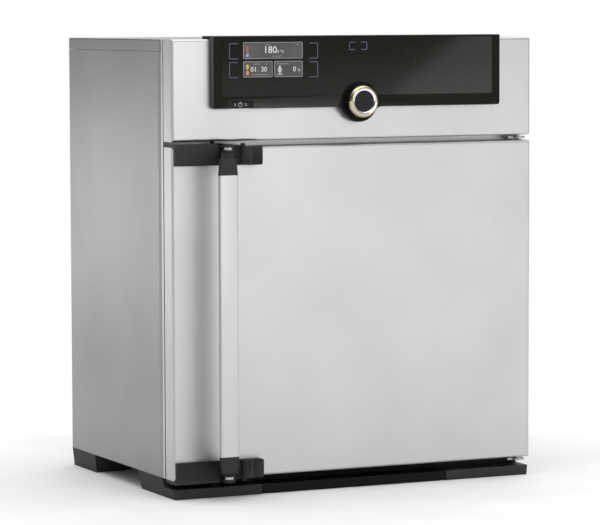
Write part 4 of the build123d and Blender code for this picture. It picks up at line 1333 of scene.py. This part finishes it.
@dataclass
class DoorSeal:
    """The extruded silicone ring with a hollow lip, on the door's inner panel.

    Its section is three lists of pairs, an inset from the ring's outer side first. The feet's other value
    is a rise above the panel, and the lip's is a drop below its highest line.
    """

    width: float = 12.0
    corner: float = 18.0
    steps: int = 10
    smooth: float = 50.0
    outer_foot: Tuple[Pair, ...] = ((0.0, 0.0), (0.0, 0.8))
    lip: Tuple[Pair, ...] = (
        (1.2, 0.5),
        (3.2, 0.0),
        (5.2, 0.3),
        (6.2, 1.1),
        (7.4, 0.6),
        (9.0, 0.2),
        (10.6, 0.5),
    )
    inner_foot: Tuple[Pair, ...] = ((12.0, 0.9), (12.0, 0.0))

    def build(self) -> None:
        """Sweep the seal's section round a rounded rectangle."""
        near, far = low("door_seal"), high("door_seal")
        section = [
            *((inset, near.y + rise) for inset, rise in self.outer_foot),
            *((inset, far.y - drop) for inset, drop in self.lip),
            *((inset, near.y + rise) for inset, rise in self.inner_foot),
        ]
        loop = self.outline(near, far)
        centre = Vector(((near.x + far.x) / 2, 0, (near.z + far.z) / 2))
        half = Vector(((far.x - near.x) / 2, 0, (far.z - near.z) / 2))
        ring = bmesh.new()
        rings = []
        for inset, y in section:
            scale = Vector(((half.x - inset) / half.x, 0, (half.z - inset) / half.z))
            made = []
            for point in loop:
                away = point - centre
                made.append(ring.verts.new((centre.x + away.x * scale.x, y, centre.z + away.z * scale.z)))
            pairs = zip(made, made[1:] + made[:1])
            rings.append([ring.edges.new(pair) for pair in pairs])
        for first, second in zip(rings, rings[1:] + rings[:1]):
            bmesh.ops.bridge_loops(ring, edges=first + second)
        finish_piece(
            ring, "door_seal_lip", SILICONE, Body.DOOR, ["door_seal"], self.smooth
        )

    def outline(self, near: Vector, far: Vector) -> List[Vector]:
        """Return the points of the ring's outer line.

        Args:
            near: The seal's lowest corner.
            far: Its highest corner.

        Returns:
            The points in order.
        """
        flat = bmesh.new()
        radius = self.corner + self.width
        face = rounded_face(flat, Axis.Y, (near.x, far.x), (near.z, far.z), near.y, radius, self.steps)
        loop = [v.co.copy() for v in face.verts]
        flat.free()
        return loop


# Camera, floor and light


@dataclass(frozen=True)
class SoftBox:
    """A rectangular lamp of an even brightness, where white is one.

    Its place, its target and its size are in metres. Its roll turns it about its own line of sight, in
    degrees.
    """

    name: str
    place: Point
    target: Point
    size: Pair
    radiance: float
    roll: float = 0.0

    def build(self) -> None:
        """Build the lamp and aim it."""
        data = bpy.data.lights.new(self.name, "AREA")
        data.shape = "RECTANGLE"
        data.size, data.size_y = self.size
        data.energy = self.radiance * math.pi * self.size[0] * self.size[1]
        lamp = add_object(self.name, data)
        lamp.location = self.place
        way = Vector(self.target) - Vector(self.place)
        turn = way.to_track_quat("-Z", "Y") @ Quaternion((0, 0, 1), math.radians(self.roll))
        lamp.rotation_euler = turn.to_euler()


@dataclass
class Studio:
    """The camera at the photograph's place, a pale floor and soft lamps.

    Places and the floor's size are in metres and angles in degrees. A ramp of the sky is its direction, the
    start and the end of its rise, and the level before the start, where white is one.
    """

    camera_place: Point = (-2.0371, -4.3299, 0.7012)
    yaw: float = 25.17
    pitch: float = 4.55
    roll: float = 0.18
    lens: float = 188.8
    sensor: float = 36.0
    view_limit: float = 100.0
    floor_size: float = 60.0
    floor_cells: int = 2
    overhead: float = 1.3
    overhead_spread: float = 70.0
    sky_ramps: Tuple[Tuple[str, float, float, float], ...] = (
        ("X", -0.35, 0.2, 0.12),
        ("Y", -0.3, 0.6, 0.3),
        ("Z", 0.4, 0.9, 0.0),
    )
    lamps: Tuple[SoftBox, ...] = (
        SoftBox("key", (0.3, -3.3, 1.3), (0.0, 0.0, 0.35), (1.4, 1.4), 3.4),
        SoftBox("side", (-0.8, 1.0, 0.36), (-0.3, 0.0, 0.36), (0.3, 0.36), 1.6),
        SoftBox("edge", (-2.4, -1.5, 0.7), (0.0, 0.0, 0.35), (0.5, 1.6), 0.8),
        SoftBox("glare", (2.004, -3.3, 0.213), (2.004, 0.0, 0.213), (0.9, 1.4), 1.3, -51.5),
    )

    def build(self) -> None:
        """Build the camera, the floor, the world and the lamps."""
        bpy.context.scene.view_settings.view_transform = "Standard"
        self.build_camera()
        self.build_floor()
        self.build_world()
        self.build_lamps()

    def build_camera(self) -> None:
        """Place the camera by its yaw, pitch and roll."""
        data = bpy.data.cameras.new("camera")
        data.lens = self.lens
        data.sensor_width = self.sensor
        data.clip_end = self.view_limit
        camera = add_object("camera", data)
        yaw, pitch, roll = (math.radians(a) for a in (self.yaw, self.pitch, self.roll))
        ahead = Vector(
            (math.sin(yaw) * math.cos(pitch), math.cos(yaw) * math.cos(pitch), -math.sin(pitch))
        )
        level = Vector((math.cos(yaw), -math.sin(yaw), 0))
        down = ahead.cross(level)
        right = math.cos(roll) * level + math.sin(roll) * down
        up = math.sin(roll) * level - math.cos(roll) * down
        turn = Matrix((right, up, -ahead)).transposed().to_4x4()
        camera.matrix_world = Matrix.Translation(self.camera_place) @ turn
        bpy.context.scene.camera = camera

    def build_floor(self) -> None:
        """Build the pale floor that keeps the object's shadow."""
        mesh = bmesh.new()
        cells = self.floor_cells
        bmesh.ops.create_grid(mesh, x_segments=cells, y_segments=cells, size=self.floor_size / 2)
        data = bpy.data.meshes.new("floor")
        mesh.to_mesh(data)
        mesh.free()
        floor = add_object("floor", data)
        data.materials.append(WARDROBE.get(FLOOR_PAPER))

    def build_world(self) -> None:
        """Build a sky that is white above and behind, and dimmer in front and at the left."""
        world = bpy.data.worlds.new("studio")
        bpy.context.scene.world = world
        world.use_nodes = True
        tree = world.node_tree
        tree.nodes.clear()
        place = add_node(tree, "ShaderNodeTexCoord")
        split = add_node(tree, "ShaderNodeSeparateXYZ", links={"Vector": place.outputs["Generated"]})
        ramps = {}
        for side, start, end, dim in self.sky_ramps:
            ramps[side] = add_node(
                tree,
                "ShaderNodeMapRange",
                {"From Min": start, "From Max": end, "To Min": dim, "To Max": 1.0},
                {"Value": split.outputs[side]},
                interpolation_type="SMOOTHSTEP",
            ).outputs["Result"]
        level = add_node(
            tree, "ShaderNodeMath", links={0: ramps["X"], 1: ramps["Y"]}, operation="MULTIPLY"
        )
        strength = add_node(
            tree, "ShaderNodeMath", links={0: level.outputs[0], 1: ramps["Z"]}, operation="MAXIMUM"
        )
        sky = add_node(
            tree,
            "ShaderNodeBackground",
            {"Color": (1.0, 1.0, 1.0, 1.0)},
            {"Strength": strength.outputs[0]},
        )
        output = add_node(tree, "ShaderNodeOutputWorld")
        tree.links.new(sky.outputs["Background"], output.inputs["Surface"])

    def build_lamps(self) -> None:
        """Build the soft boxes and the even light from above."""
        for lamp in self.lamps:
            lamp.build()
        data = bpy.data.lights.new("overhead", "SUN")
        data.energy = self.overhead
        data.angle = math.radians(self.overhead_spread)
        add_object("overhead", data)


def main() -> None:
    """Build the scene in order."""
    logging.basicConfig(level=logging.INFO, format="%(name)s: %(message)s")
    Studio().build()
    WARDROBE.dress_frame()
    makers: List[Maker] = [Screen(), TouchMarks(), PowerMark(), Knob(), Handle(), DoorSeal()]
    for maker in makers:
        maker.build()
        LOG.info("%s is in place", type(maker).__name__)


if __name__ == "__main__":
    main()
